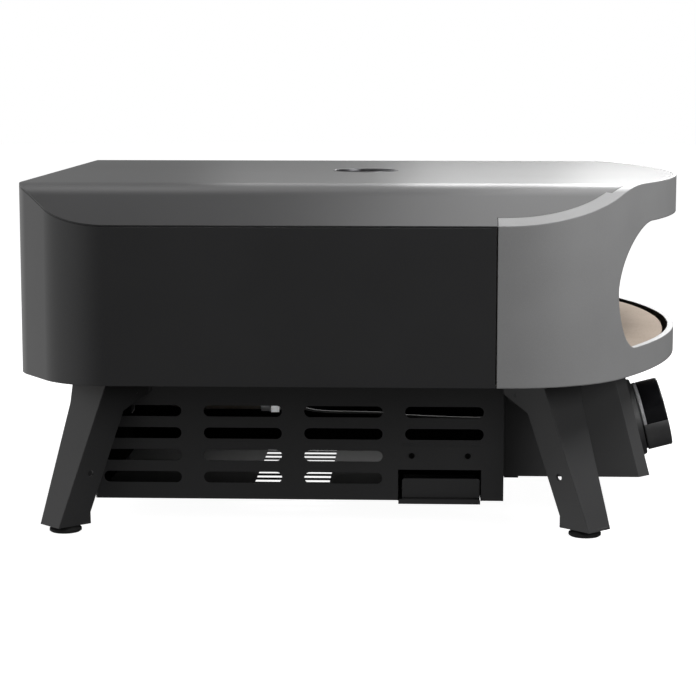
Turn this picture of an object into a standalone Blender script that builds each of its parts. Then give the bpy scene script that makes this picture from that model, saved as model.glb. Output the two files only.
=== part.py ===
"""Portable gas pizza oven on four folding legs.

Working axes: X runs from the back wall (X = 0) to the curved front lip (X = BODY_L), Y runs across,
Z is up from the surface the rubber feet stand on. All sizes are metres. The empty "oven_origin" carries every piece and
sets the row's origin under the middle of the oven's bounding box. Left is the -Y side, right is the +Y side.
"""
import bpy
import bmesh
import math
from mathutils import Matrix, Vector

# ---------------------------------------------------------------- driving dimensions
BODY_L = 0.600          # back wall to front lip
BODY_HALF_W = 0.3126    # centre line to side wall
ROOF_Z = 0.305          # flat roof
WALL_TOP_Z = 0.27435    # top of the side walls, foot of the roof chamfers
BODY_Z0 = 0.1376        # lower edge of the body
CHAMFER_Y = 0.2382      # where chamfer and flat roof would meet without the bend
BEND_R = 0.120          # radius of that bend
FRONT_R = 0.4884        # bowed front
CORNER_R = 0.1214       # front corners, tangent to front and sides
BACK_FLAT_Y = 0.2338    # back wall half width, to the sharp corner of the facet
FACET_X = 0.0525        # length that the back facets take off the side walls
BACK_R, SIDE_R = 0.060, 0.070
SHEET = 0.0012
GAP = 0.0003
SEAM_X = 0.4189         # side wall / front panel joint
LIP_T = 0.0058          # depth of the returned lip round the mouth
STRIP_W = 0.0145        # top flange of the front panel
LIP_Z = 0.1618          # lower edge of the mouth
MOUTH_TOP_Z = 0.2709
MOUTH_WIDE_Z = 0.2143
MOUTH_S = 0.2732        # mouth half width along the sheet
STONE_TOP_Z = 0.1595
STONE_T = 0.012
LINER_OFF = 0.025       # insulation space
GAUGE_X, GAUGE_R = 0.2994, 0.0323
BASE_X0, BASE_X1 = 0.0636, 0.4294
BASE_HALF_W = 0.2205
BASE_Z0 = 0.0217
SLOT_L, SLOT_H, SLOT_PX, SLOT_PZ = 0.070, 0.010, 0.090, 0.020
SLOT_X0, SLOT_Z0 = 0.0715, 0.0415
BOX_HALF_W, BOX_Z0 = 0.190, 0.0384
FASCIA_X0, FASCIA_LEAN = 0.563348, 0.261   # fascia X at BOX_Z0, and its backward lean per unit of height
KNOB_Z = 0.0590
LEG_MID_X = 0.2710
LEG_PIVOT = (0.1005, 0.2218, 0.1195)     # rear leg, as (X, half width, Z)
LEG_TOP_Z = 0.1305
ORIGIN_X = 0.30210

for o in list(bpy.data.objects):
    bpy.data.objects.remove(o, do_unlink=True)

scene = bpy.context.scene
root = bpy.data.objects.new("oven_origin", None)
scene.collection.objects.link(root)
root.location = (-ORIGIN_X, 0.0, 0.0)

MATERIALS = {}


def material(name, rgb, rough, metal=0.0):
    if name not in MATERIALS:
        m = bpy.data.materials.new(name)
        m.use_nodes = True
        p = m.node_tree.nodes["Principled BSDF"]
        p.inputs["Base Color"].default_value = (*rgb, 1.0)
        p.inputs["Roughness"].default_value = rough
        p.inputs["Metallic"].default_value = metal
        m.diffuse_color = (*rgb, 1.0)
        MATERIALS[name] = m
    return MATERIALS[name]


COAT = ("body_coat", (0.085, 0.085, 0.088), 0.48, 0.3)
COAT_LIGHT = ("front_coat", (0.21, 0.21, 0.215), 0.42, 0.3)
COAT_BASE = ("base_coat", (0.045, 0.045, 0.047), 0.55, 0.2)
STEEL = ("stainless", (0.56, 0.56, 0.57), 0.32, 1.0)
ZINC = ("zinc", (0.62, 0.63, 0.65), 0.35, 1.0)
BRASS = ("brass", (0.72, 0.55, 0.26), 0.32, 1.0)
STONE = ("cordierite", (0.56, 0.49, 0.41), 0.9, 0.0)
FIBRE = ("ceramic_fibre", (0.86, 0.86, 0.83), 0.95, 0.0)
PLASTIC = ("black_plastic", (0.018, 0.018, 0.019), 0.4, 0.0)
GLOSS = ("gloss_black", (0.008, 0.008, 0.009), 0.12, 0.0)
CHROME = ("chrome", (0.74, 0.74, 0.75), 0.15, 1.0)
RUBBER = ("rubber", (0.015, 0.015, 0.015), 0.8, 0.0)
GLASS = ("gauge_glass", (0.92, 0.95, 0.95), 0.05, 0.0)
DIAL = ("dial_face", (0.10, 0.10, 0.10), 0.6, 0.0)
RED = ("pointer_red", (0.62, 0.04, 0.03), 0.45, 0.0)
CERAMIC = ("ceramic", (0.85, 0.83, 0.78), 0.4, 0.0)
LEAD = ("lead_sleeve", (0.52, 0.51, 0.49), 0.55, 0.0)
CELL = ("cell_wrap", (0.16, 0.22, 0.33), 0.35, 0.2)


# ---------------------------------------------------------------- modelling helpers
def obj_from(bm, name="work"):
    bmesh.ops.recalc_face_normals(bm, faces=bm.faces)
    me = bpy.data.meshes.new(name)
    bm.to_mesh(me)
    bm.free()
    ob = bpy.data.objects.new(name, me)
    scene.collection.objects.link(ob)
    return ob


def prism(points, lo, hi, axis="Z"):
    """Polygon in the two other axes, extruded along axis from lo to hi. Points are (X, Y), (X, Z) or (Y, Z)."""
    def at(p, h):
        return {"Z": (p[0], p[1], h), "Y": (p[0], h, p[1]), "X": (h, p[0], p[1])}[axis]
    bm = bmesh.new()
    low = [bm.verts.new(at(p, lo)) for p in points]
    high = [bm.verts.new(at(p, hi)) for p in points]
    bm.faces.new(low)
    bm.faces.new(high[::-1])
    n = len(points)
    for i in range(n):
        bm.faces.new((low[i], high[i], high[(i + 1) % n], low[(i + 1) % n]))
    return obj_from(bm)


def loft(low, high):
    """Closed solid between two polygons with the same number of 3-D points."""
    bm = bmesh.new()
    a = [bm.verts.new(p) for p in low]
    b = [bm.verts.new(p) for p in high]
    bm.faces.new(a)
    bm.faces.new(b[::-1])
    n = len(a)
    for i in range(n):
        bm.faces.new((a[i], b[i], b[(i + 1) % n], a[(i + 1) % n]))
    return obj_from(bm)


def box(x0, x1, y0, y1, z0, z1):
    return prism([(x0, y0), (x1, y0), (x1, y1), (x0, y1)], z0, z1)


def frame_of(direction):
    d = Vector(direction).normalized()
    side = Vector((0, 1, 0)) if abs(d.y) < 0.9 else Vector((1, 0, 0))
    u = side.cross(d).normalized()
    v = d.cross(u)
    return d, u, v


def turned(profile, centre, direction, segments=32):
    """Solid of revolution. profile: (distance along the axis, radius) round the section, closed on itself or on the axis."""
    d, u, v = frame_of(direction)
    c = Vector(centre)
    bm = bmesh.new()
    rings = []
    for a, r in profile:
        if r < 1e-7:
            rings.append([bm.verts.new(c + d * a)])
        else:
            rings.append([bm.verts.new(c + d * a + (u * math.cos(t) + v * math.sin(t)) * r)
                          for t in (2 * math.pi * k / segments for k in range(segments))])
    closed = profile[0][1] > 1e-7 and profile[-1][1] > 1e-7
    pairs = list(zip(rings, rings[1:])) + ([(rings[-1], rings[0])] if closed else [])
    for a, b in pairs:
        for k in range(segments):
            j = (k + 1) % segments
            if len(a) == 1 and len(b) == 1:
                continue
            if len(a) == 1:
                bm.faces.new((a[0], b[k], b[j]))
            elif len(b) == 1:
                bm.faces.new((a[k], a[j], b[0]))
            else:
                bm.faces.new((a[k], a[j], b[j], b[k]))
    return obj_from(bm)


def rod(p0, p1, r, segments=16):
    d = Vector(p1) - Vector(p0)
    return turned([(0, 0), (0, r), (d.length, r), (d.length, 0)], p0, d, segments)


def smooth_path(points, step=0.008):
    """Catmull-Rom curve through the points, sampled about every step metres."""
    pts = [Vector(p) for p in points]
    ext = [pts[0] * 2 - pts[1]] + pts + [pts[-1] * 2 - pts[-2]]
    out = []
    for i in range(1, len(ext) - 2):
        p0, p1, p2, p3 = ext[i - 1:i + 3]
        n = max(2, int(round((p2 - p1).length / step)))
        for k in range(n):
            t = k / n
            out.append(0.5 * ((2 * p1) + (p2 - p0) * t + (2 * p0 - 5 * p1 + 4 * p2 - p3) * t * t
                              + (3 * p1 - p0 - 3 * p2 + p3) * t ** 3))
    out.append(pts[-1])
    return out


def swept(path, r, segments=8):
    """Round bar along a path, with flat ends and a twist-free section."""
    pts = [Vector(p) for p in path]
    bm = bmesh.new()
    rings = []
    up = None
    for i, p in enumerate(pts):
        a = pts[max(i - 1, 0)]
        b = pts[min(i + 1, len(pts) - 1)]
        d = (b - a).normalized()
        if up is None:
            up = frame_of(d)[1]
        up = (up - d * up.dot(d)).normalized()
        w = d.cross(up)
        rings.append([bm.verts.new(p + (up * math.cos(t) + w * math.sin(t)) * r)
                      for t in (2 * math.pi * k / segments for k in range(segments))])
    for a, b in zip(rings, rings[1:]):
        for k in range(segments):
            j = (k + 1) % segments
            bm.faces.new((a[k], a[j], b[j], b[k]))
    bm.faces.new(rings[0][::-1])
    bm.faces.new(rings[-1])
    return obj_from(bm)


def combine(target, tool, operation):
    mod = target.modifiers.new("shape", "BOOLEAN")
    mod.operation = operation
    mod.solver = "EXACT"
    mod.object = tool
    bpy.context.view_layer.update()
    deps = bpy.context.evaluated_depsgraph_get()
    me = bpy.data.meshes.new_from_object(target.evaluated_get(deps))
    target.modifiers.clear()
    old = target.data
    target.data = me
    bpy.data.meshes.remove(old)
    bpy.data.objects.remove(tool, do_unlink=True)
    return target


def minus(target, *tools):
    for t in tools:
        combine(target, t, "DIFFERENCE")
    return target


def plus(target, *tools):
    for t in tools:
        combine(target, t, "UNION")
    return target


def within(target, tool):
    return combine(target, tool, "INTERSECT")


def mirrored(ob, name="work"):
    """A copy on the other side of the XZ plane."""
    bm = bmesh.new()
    bm.from_mesh(ob.data)
    bmesh.ops.scale(bm, vec=(1, -1, 1), verts=bm.verts)
    bmesh.ops.reverse_faces(bm, faces=bm.faces)
    return obj_from(bm, name)


def flipped_x(ob, x_mid):
    bm = bmesh.new()
    bm.from_mesh(ob.data)
    bmesh.ops.scale(bm, vec=(-1, 1, 1), verts=bm.verts)
    bmesh.ops.translate(bm, vec=(2 * x_mid, 0, 0), verts=bm.verts)
    bmesh.ops.reverse_faces(bm, faces=bm.faces)
    return obj_from(bm)


def finish(ob, name, mat, smooth=False, origin=None, parent=None):
    """Names the piece, gives it its material, and puts its origin where asked."""
    ob.name = name
    ob.data.name = name
    ob.data.materials.clear()
    ob.data.materials.append(material(*mat))
    if origin is not None:
        o = Vector(origin)
        ob.data.transform(Matrix.Translation(-o))
        ob.location = o
    if smooth:
        ob.data.shade_smooth()
        ob.data.set_sharp_from_angle(angle=math.radians(35))
    ob.parent = parent or root
    if parent is not None and origin is not None:
        ob.location = Vector(origin) - parent.location
    elif parent is not None:
        ob.location = -parent.location
    return ob


def pivot(name, location):
    e = bpy.data.objects.new(name, None)
    scene.collection.objects.link(e)
    e.parent = root
    e.location = location
    return e


# ---------------------------------------------------------------- the two outlines of the body
FRONT_C = BODY_L - FRONT_R
FRONT_A = math.asin((BODY_HALF_W - CORNER_R) / (FRONT_R - CORNER_R))
CORNER_C = (FRONT_C + (FRONT_R - CORNER_R) * math.cos(FRONT_A), BODY_HALF_W - CORNER_R)
FACET_N = math.pi - math.atan2(FACET_X, BODY_HALF_W - BACK_FLAT_Y)   # direction the right-hand facet faces
SIDE_C = (FACET_X + SIDE_R * math.tan((FACET_N - math.pi / 2) / 2), BODY_HALF_W - SIDE_R)
BACK_C = (BACK_R, BACK_FLAT_Y - BACK_R * math.tan((math.pi - FACET_N) / 2))
SLOPE = (ROOF_Z - WALL_TOP_Z) / (BODY_HALF_W - CHAMFER_Y)
SLOPE_A = math.atan(SLOPE)


def arc(c, r, a0, a1, n):
    return [(c[0] + r * math.cos(a0 + (a1 - a0) * k / n), c[1] + r * math.sin(a0 + (a1 - a0) * k / n)) for k in range(n + 1)]


def half_plan(off, n_front=12, n_corner=8):
    """Right half of the body's outline, from the middle of the front to the middle of the back, moved in by off."""
    pts = arc((FRONT_C, 0.0), FRONT_R - off, 0.0, FRONT_A, n_front)
    pts += arc(CORNER_C, CORNER_R - off, FRONT_A, math.pi / 2, n_corner)[1:]
    pts += arc(SIDE_C, SIDE_R - off, math.pi / 2, FACET_N, 5)
    pts += arc(BACK_C, BACK_R - off, FACET_N, math.pi, 3)
    return pts


def full_plan(off, **kw):
    h = half_plan(off, **kw)
    return [(x, -y) for x, y in h[:0:-1]] + h


def clip_x(points, lo=None, hi=None):
    """Cuts a polygon with lines of constant X."""
    for limit, keep_low in ((lo, False), (hi, True)):
        if limit is None:
            continue
        out = []
        n = len(points)
        for i in range(n):
            a, b = points[i], points[(i + 1) % n]
            ia = a[0] <= limit if keep_low else a[0] >= limit
            ib = b[0] <= limit if keep_low else b[0] >= limit
            if ia:
                out.append(a)
            if ia != ib:
                t = (limit - a[0]) / (b[0] - a[0])
                out.append((limit, a[1] + t * (b[1] - a[1])))
        points = out
    return points


def plan_prism(off, z0, z1, lo=None, hi=None):
    return prism(clip_x(full_plan(off), lo, hi), z0, z1)


def roof_line(off, reach=0.36):
    """Roof section (Y, Z) from left to right, moved down by off."""
    yc = CHAMFER_Y - BEND_R * math.tan(SLOPE_A / 2)
    r = BEND_R - off
    right = [(yc + r * math.sin(SLOPE_A * k / 5), ROOF_Z - BEND_R + r * math.cos(SLOPE_A * k / 5)) for k in range(6)]
    last = right[-1]
    right.append((reach, last[1] - (reach - last[0]) * SLOPE))
    return [(-y, z) for y, z in right[::-1]] + right


def under_roof(off, z0, x0=-0.05, x1=0.70):
    line = roof_line(off)
    return prism([(line[0][0], z0)] + line + [(line[-1][0], z0)], x0, x1, "X")


def roof_sheet(off0, off1, x0=-0.05, x1=0.70):
    return prism(roof_line(off0) + roof_line(off1)[::-1], x0, x1, "X")


def sheet_y(s):
    """Y of a point that lies s metres from the centre line, measured along the front panel."""
    if s < FRONT_R * FRONT_A:
        return FRONT_R * math.sin(s / FRONT_R)
    return CORNER_C[1] + CORNER_R * math.sin(FRONT_A + (s - FRONT_R * FRONT_A) / CORNER_R)


def mouth_outline(grow=0.0):
    """Mouth seen from the front, (Y, Z), laid out along the sheet and then rolled round the front."""
    wide, top, low = MOUTH_S + grow, MOUTH_TOP_Z + grow, LIP_Z - grow
    pts = []
    a, b, p = 0.072, top - MOUTH_WIDE_Z, 1.75
    for k in range(11):
        t = math.pi / 2 * k / 10
        pts.append((sheet_y(wide - a + a * math.sin(t) ** (2 / p)), MOUTH_WIDE_Z + b * math.cos(t) ** (2 / p)))
    a, b = 0.0372 + grow, MOUTH_WIDE_Z - low
    for k in range(1, 9):
        t = math.pi / 2 * k / 8
        pts.append((sheet_y(wide - a + a * math.cos(t)), MOUTH_WIDE_Z - b * math.sin(t)))
    return [(-y, z) for y, z in pts[::-1]] + pts


def slot(x0, z0, length, height, lo, hi, axis="Y", n=5):
    """Slot with round ends, centred on z0, starting at x0."""
    r = height / 2
    pts = arc((x0 + length - r, z0), r, -math.pi / 2, math.pi / 2, n) + arc((x0 + r, z0), r, math.pi / 2, 3 * math.pi / 2, n)
    return prism(pts, lo, hi, axis)


# ---------------------------------------------------------------- outer casing
inner_half = [p for p in half_plan(STRIP_W + GAP) if p[0] > SEAM_X] + [(SEAM_X, BODY_HALF_W - STRIP_W - GAP)]
outer_half = [(SEAM_X, BODY_HALF_W)] + [p for p in half_plan(0.0) if p[0] < SEAM_X]
half = inner_half + outer_half
roof_plan = [(x, -y) for x, y in half[:0:-1]] + half
roof_cover = roof_sheet(0.0, SHEET)
within(roof_cover, prism(roof_plan, 0.2, 0.4))
minus(roof_cover, rod((GAUGE_X, 0, 0.25), (GAUGE_X, 0, 0.35), GAUGE_R, 36))
finish(roof_cover, "roof_cover", COAT)


def band(off0, off1, lo=None, hi=None):
    """Open strip of wall between two offsets of the outline, cut at constant X (closed across the back or the front)."""
    if hi is not None:      # back part: right side, back, left side
        ha = [p for p in half_plan(off0) if p[0] < hi]
        hb = [p for p in half_plan(off1) if p[0] < hi]
        ya, yb = BODY_HALF_W - off0, BODY_HALF_W - off1
        outer = [(hi, ya)] + ha + [(x, -y) for x, y in ha[::-1]] + [(hi, -ya)]
        inner = [(hi, yb)] + hb + [(x, -y) for x, y in hb[::-1]] + [(hi, -yb)]
    else:
        ha = [p for p in half_plan(off0) if p[0] > lo]
        hb = [p for p in half_plan(off1) if p[0] > lo]
        ya, yb = BODY_HALF_W - off0, BODY_HALF_W - off1
        outer = [(lo, -ya)] + [(x, -y) for x, y in ha[:0:-1]] + ha + [(lo, ya)]
        inner = [(lo, -yb)] + [(x, -y) for x, y in hb[:0:-1]] + hb + [(lo, yb)]
    return outer + inner[::-1]


outer_wall = prism(band(0.0, SHEET, hi=SEAM_X), BODY_Z0, 0.33)
within(outer_wall, under_roof(SHEET + GAP, 0.1))
finish(outer_wall, "outer_wall", COAT)

front = prism(clip_x(full_plan(0.0), lo=SEAM_X + GAP), BODY_Z0, 0.33)
within(front, under_roof(0.0, 0.1))
PANEL_T = 0.0014
minus(front, plan_prism(STRIP_W, 0.1, 0.35, lo=SEAM_X - 0.02))
hollow = plan_prism(LIP_T, BODY_Z0 + PANEL_T, 0.33, lo=SEAM_X - 0.02)
within(hollow, under_roof(SHEET, 0.1))
minus(front, hollow)
recess = plan_prism(PANEL_T, BODY_Z0 + PANEL_T, 0.33, lo=SEAM_X - 0.02)
within(recess, under_roof(SHEET, 0.1))
minus(recess, prism(mouth_outline(PANEL_T), 0.45, 0.65, "X"))
minus(front, recess)
minus(front, plan_prism(0.009, 0.12, BODY_Z0 + 0.004, lo=SEAM_X - 0.02))
minus(front, prism(mouth_outline(0.0), 0.45, 0.65, "X"))
finish(front, "front_panel", COAT_LIGHT)

floor_pan = plan_prism(0.0018, BODY_Z0 + 0.0018, BODY_Z0 + 0.003)
minus(floor_pan, rod((0.078, 0, 0.12), (0.078, 0, 0.16), 0.0135, 20),
      rod((0.094, 0.075, 0.12), (0.094, 0.075, 0.16), 0.0048, 12),
      rod((0.094, -0.075, 0.12), (0.094, -0.075, 0.16), 0.0038, 12))
for yy in (-0.13, 0.13):
    minus(floor_pan, slot(0.15, yy, 0.26, 0.014, 0.12, 0.16, "Z"))
finish(floor_pan, "floor_pan", STEEL)
PAN_TOP = BODY_Z0 + 0.003

# ---------------------------------------------------------------- baking chamber
LINER_X = 0.450
liner = plan_prism(LINER_OFF, PAN_TOP + GAP, 0.33, hi=LINER_X)
minus(liner, plan_prism(LINER_OFF + SHEET, 0.12, 0.34, hi=LINER_X + 0.01))
within(liner, under_roof(LINER_OFF, 0.1))
flange = plan_prism(0.0022, PAN_TOP + GAP, 0.33, lo=LINER_X - 0.0012, hi=LINER_X)
within(flange, under_roof(SHEET + 0.0006, 0.1))
opening = plan_prism(LINER_OFF + 0.0006, 0.10, 0.33, lo=LINER_X - 0.03, hi=LINER_X + 0.03)
within(opening, under_roof(LINER_OFF + 0.0006, 0.05))
minus(flange, opening)
plus(liner, flange)
finish(liner, "liner_wall", STEEL)

crown = roof_sheet(LINER_OFF, LINER_OFF + SHEET)
within(crown, plan_prism(LINER_OFF + SHEET + GAP, 0.2, 0.4, hi=LINER_X - 0.0012 - GAP))
minus(crown, rod((GAUGE_X, 0, 0.25), (GAUGE_X, 0, 0.30), 0.0045, 12))
finish(crown, "liner_crown", STEEL)

roof_wool = roof_sheet(SHEET + 0.0006, LINER_OFF - 0.0005, x1=0.447)
within(roof_wool, plan_prism(0.0262, 0.2, 0.4))
minus(roof_wool, rod((GAUGE_X, 0, 0.25), (GAUGE_X, 0, 0.35), GAUGE_R + 0.001, 24))
finish(roof_wool, "roof_insulation", FIBRE)

wall_wool = prism(band(0.0018, LINER_OFF - 0.0006, hi=SEAM_X - 0.001), PAN_TOP + 0.0006, 0.33)
within(wall_wool, under_roof(SHEET + 0.0006, 0.1))
finish(wall_wool, "wall_insulation", FIBRE)

stone_half = [p for p in half_plan(0.0098, n_front=16) if p[1] < 0.2825 and p[0] > SEAM_X]
side = [(0.470, 0.2825), (0.128, 0.2825), (0.125, 0.2795)]
stone_plan = [(x, -y) for x, y in (stone_half + side)[:0:-1]] + stone_half + side
stone = prism(stone_plan, STONE_TOP_Z - STONE_T, STONE_TOP_Z)
bev = stone.modifiers.new("edge", "BEVEL")
bev.width = 0.0012
bev.segments = 1
bev.limit_method = "ANGLE"
bev.angle_limit = math.radians(60)
finish(stone, "pizza_stone", STONE)

for side_name, sign in (("left", -1), ("right", 1)):
    rail = box(0.135, 0.520, sign * 0.190 - 0.010, sign * 0.190 + 0.010, PAN_TOP + GAP, STONE_TOP_Z - STONE_T - GAP)
    minus(rail, box(0.130, 0.530, sign * 0.190 - 0.0088, sign * 0.190 + 0.0088, 0.10, STONE_TOP_Z - STONE_T - GAP - 0.0012))
    finish(rail, f"stone_rail_{side_name}", STEEL)

baffle = prism([(0.106, PAN_TOP + GAP), (0.1205, PAN_TOP + GAP), (0.1205, PAN_TOP + GAP + 0.0012), (0.1072, PAN_TOP + GAP + 0.0012),
                (0.1072, 0.182), (0.106, 0.182)], -0.245, 0.245, "Y")
for k in range(9):
    minus(baffle, slot(-0.212 + k * 0.048, 0.171, 0.040, 0.007, 0.09, 0.12, "X", n=3))
finish(baffle, "flame_baffle", STEEL)

# ---------------------------------------------------------------- burner and gas train
BURN_X, BURN_Z, VENT_Z, JET_X = 0.078, 0.170, 0.0782, 0.2128
riser = smooth_path([(BURN_X, 0, BURN_Z), (BURN_X, 0, 0.145), (BURN_X, 0, 0.114), (BURN_X + 0.012, 0, 0.090), (BURN_X + 0.040, 0, VENT_Z),
                     (0.150, 0, VENT_Z), (0.2044, 0, VENT_Z)], 0.012)
burner = plus(rod((BURN_X, -0.205, BURN_Z), (BURN_X, 0.205, BURN_Z), 0.012, 20), swept(riser, 0.0115, 14))
bore_path = riser + [Vector((0.220, 0, VENT_Z))]
minus(burner, plus(rod((BURN_X, -0.2035, BURN_Z), (BURN_X, 0.2035, BURN_Z), 0.0105, 20), swept(bore_path, 0.0100, 14)))
finish(burner, "burner_tube", STEEL, smooth=True)

shutter = turned([(0, 0.0120), (0, 0.0132), (0.0088, 0.0132), (0.0088, 0.0120)], (0.1960, 0, VENT_Z), (1, 0, 0), 24)
finish(shutter, "air_shutter", ZINC, smooth=True)

bracket = prism([(JET_X, BODY_Z0 + 0.0015), (JET_X + 0.024, BODY_Z0 + 0.0015), (JET_X + 0.024, BODY_Z0), (JET_X + 0.0015, BODY_Z0),
                 (JET_X + 0.0015, 0.0661), (JET_X, 0.0661)], -0.014, 0.014, "Y")
plus(bracket, box(JET_X - 0.0066, JET_X + 0.0014, -0.0140, -0.0128, 0.0661, 0.1200))
minus(bracket, rod((JET_X - 0.01, 0, VENT_Z), (JET_X + 0.02, 0, VENT_Z), 0.0047, 14))
finish(bracket, "jet_bracket", ZINC)

jet = turned([(-0.010, 0.0), (-0.010, 0.0022), (-0.002, 0.0044), (0.0022, 0.0044), (0.0022, 0.0070), (0.0100, 0.0070), (0.0100, 0.0)],
             (JET_X, 0, VENT_Z), (1, 0, 0), 12)
finish(jet, "gas_jet", BRASS)

# knob axis, normal to the leaning fascia
N = Vector((1.0, 0.0, FASCIA_LEAN)).normalized()
K0 = Vector((FASCIA_X0 - (KNOB_Z - BOX_Z0) * FASCIA_LEAN, 0.0, KNOB_Z))


def ax(a, side=0.0, up=0.0):
    """Point at distance a in front of the fascia on the knob axis."""
    _, u, v = frame_of(N)
    return K0 + N * a + Vector((0, 1, 0)) * side + Vector((-N.z, 0, N.x)) * up


valve = turned([(-0.0320, 0.0), (-0.0320, 0.0062), (-0.0265, 0.0098), (-0.0135, 0.0105), (-0.0135, 0.0085), (-0.0022, 0.0085),
                (-0.0022, 0.0044), (-0.0120, 0.0044), (-0.0120, 0.0)], K0, N, 18)
plus(valve, rod(ax(-0.020), ax(-0.020, side=0.024), 0.0058, 12))
finish(valve, "gas_valve", BRASS, smooth=True)

PUSH = pivot("knob_axis", K0)
stem = turned([(-0.0080, 0.0), (-0.0080, 0.0040), (0.0330, 0.0040), (0.0330, 0.0)], K0, N, 16)
finish(stem, "valve_stem", STEEL, smooth=True, origin=K0, parent=PUSH)

bezel = turned([(0.0004, 0.0125), (0.0004, 0.0340), (0.0105, 0.0364), (0.0138, 0.0380), (0.0160, 0.0384), (0.0176, 0.0381),
                (0.0180, 0.0373), (0.0175, 0.0365), (0.0105, 0.0360), (0.0090, 0.0345), (0.0090, 0.0125)], K0, N, 40)
finish(bezel, "knob_bezel", PLASTIC, smooth=True)

ring_teeth = 40
knurl = turned([(0.0187, 0.0224), (0.0187, 0.0328), (0.0191, 0.0334), (0.0216, 0.0334), (0.0220, 0.0328), (0.0220, 0.0224)], K0, N, ring_teeth * 2)
d_, u_, v_ = frame_of(N)
for vert in knurl.data.vertices:
    rel = vert.co - K0
    a = rel.dot(d_)
    radial = rel - d_ * a
    if radial.length > 0.0331:
        k = int(round(math.atan2(radial.dot(v_), radial.dot(u_)) / (math.pi / ring_teeth))) % 2
        if k:
            vert.co = K0 + d_ * a + radial.normalized() * (radial.length - 0.0006)
finish(knurl, "knob_ring", CHROME, origin=K0, parent=PUSH)

profile = [(0.0340, 0.0), (0.0340, 0.0044), (0.0172, 0.0044), (0.0172, 0.0216), (0.0223, 0.0220), (0.0223, 0.0326), (0.0231, 0.0333),
           (0.0378, 0.0333), (0.0390, 0.0321), (0.0390, 0.0)]
knob = turned(profile, K0, N, 40)
# grip lug: a raised segment of the rim, low on the left, that also covers the ring
LUG_A0, LUG_A1, LUG_R = math.radians(15.5), math.radians(71), 0.0354
up_dir = Vector((-N.z, 0, N.x))


def lug_section(a):
    rim = [(LUG_R - 0.0006, LUG_A0)] + [(LUG_R, LUG_A0 + (LUG_A1 - LUG_A0) * t) for t in (0.03, 0.17, 0.33, 0.50, 0.67, 0.83, 0.97)] + [(LUG_R - 0.0006, LUG_A1)]
    ring = [(0.0185, LUG_A0 + 0.35)] + rim + [(0.0185, LUG_A1 - 0.35)]
    return [K0 + N * a + (Vector((0, -1, 0)) * math.cos(t) - up_dir * math.sin(t)) * r for r, t in ring]


lug = loft(lug_section(0.0185), lug_section(0.0389))
minus(lug, turned([(0.0100, 0.0), (0.0100, 0.0338), (0.02225, 0.0338), (0.02225, 0.0)], K0, N, 40))
plus(knob, lug)
finish(knob, "knob_body", GLOSS, smooth=True, origin=K0, parent=PUSH)

gas_pipe = smooth_path([ax(-0.0338), ax(-0.0420), (0.500, 0, 0.0530), (0.465, 0, 0.0640), (0.425, 0, 0.0760), (0.390, 0, VENT_Z), (0.300, 0, VENT_Z),
                        (JET_X + 0.0104, 0, VENT_Z)], 0.016)
finish(swept(gas_pipe, 0.0040, 8), "gas_pipe", ZINC, smooth=True)

INLET = (0.068, 0.130, 0.075)
feed = smooth_path([ax(-0.020, side=0.0274), ax(-0.020, side=0.038), (0.500, 0.085, 0.050), (0.455, 0.120, 0.050), (0.400, 0.130, 0.055),
                    (0.300, 0.130, 0.066), (0.180, 0.130, 0.075), (0.0845, 0.130, 0.075)], 0.018)
finish(swept(feed, 0.0040, 8), "supply_pipe", ZINC, smooth=True)
inlet = turned([(-0.0260, 0.0), (-0.0260, 0.0055), (-0.0240, 0.0062), (-0.0120, 0.0062), (-0.0120, 0.0090), (-0.0050, 0.0090), (-0.0050, 0.0060),
                (0.0080, 0.0060), (0.0080, 0.0078), (0.0160, 0.0078), (0.0160, 0.0)], INLET, (1, 0, 0), 12)
finish(inlet, "gas_inlet", BRASS)

electrode = turned([(-0.022, 0.0), (-0.022, 0.0022), (-0.014, 0.0022), (-0.014, 0.0040), (0.012, 0.0040), (0.018, 0.0028), (0.018, 0.0010),
                    (0.030, 0.0010), (0.030, 0.0)], (0.094, 0.075, 0.142), (0, 0, 1), 12)
finish(electrode, "igniter_electrode", CERAMIC, smooth=True)
couple = turned([(-0.020, 0.0), (-0.020, 0.0030), (0.006, 0.0030), (0.010, 0.0018), (0.027, 0.0018), (0.029, 0.0)], (0.094, -0.075, 0.142), (0, 0, 1), 12)
finish(couple, "thermocouple", STEEL, smooth=True)
igniter = box(0.462, 0.498, -0.110, -0.062, 0.0430, 0.0860)
plus(igniter, rod((0.464, -0.084, 0.0738), (0.452, -0.084, 0.0738), 0.0035, 10))
finish(igniter, "igniter_module", PLASTIC)
lead = smooth_path([(0.4515, -0.084, 0.0738), (0.430, -0.084, 0.0736), (0.3973, -0.084, 0.0735), (0.3387, -0.084, 0.0756), (0.3160, -0.084, 0.0779),
                    (0.2537, -0.084, 0.0797), (0.226, -0.072, 0.0870), (0.190, -0.030, 0.1040), (0.150, 0.035, 0.1080), (0.116, 0.068, 0.1060),
                    (0.098, 0.075, 0.1070), (0.094, 0.075, 0.1195)], 0.016)
finish(swept(lead, 0.0012, 6), "ignition_lead", LEAD, smooth=True)

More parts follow.
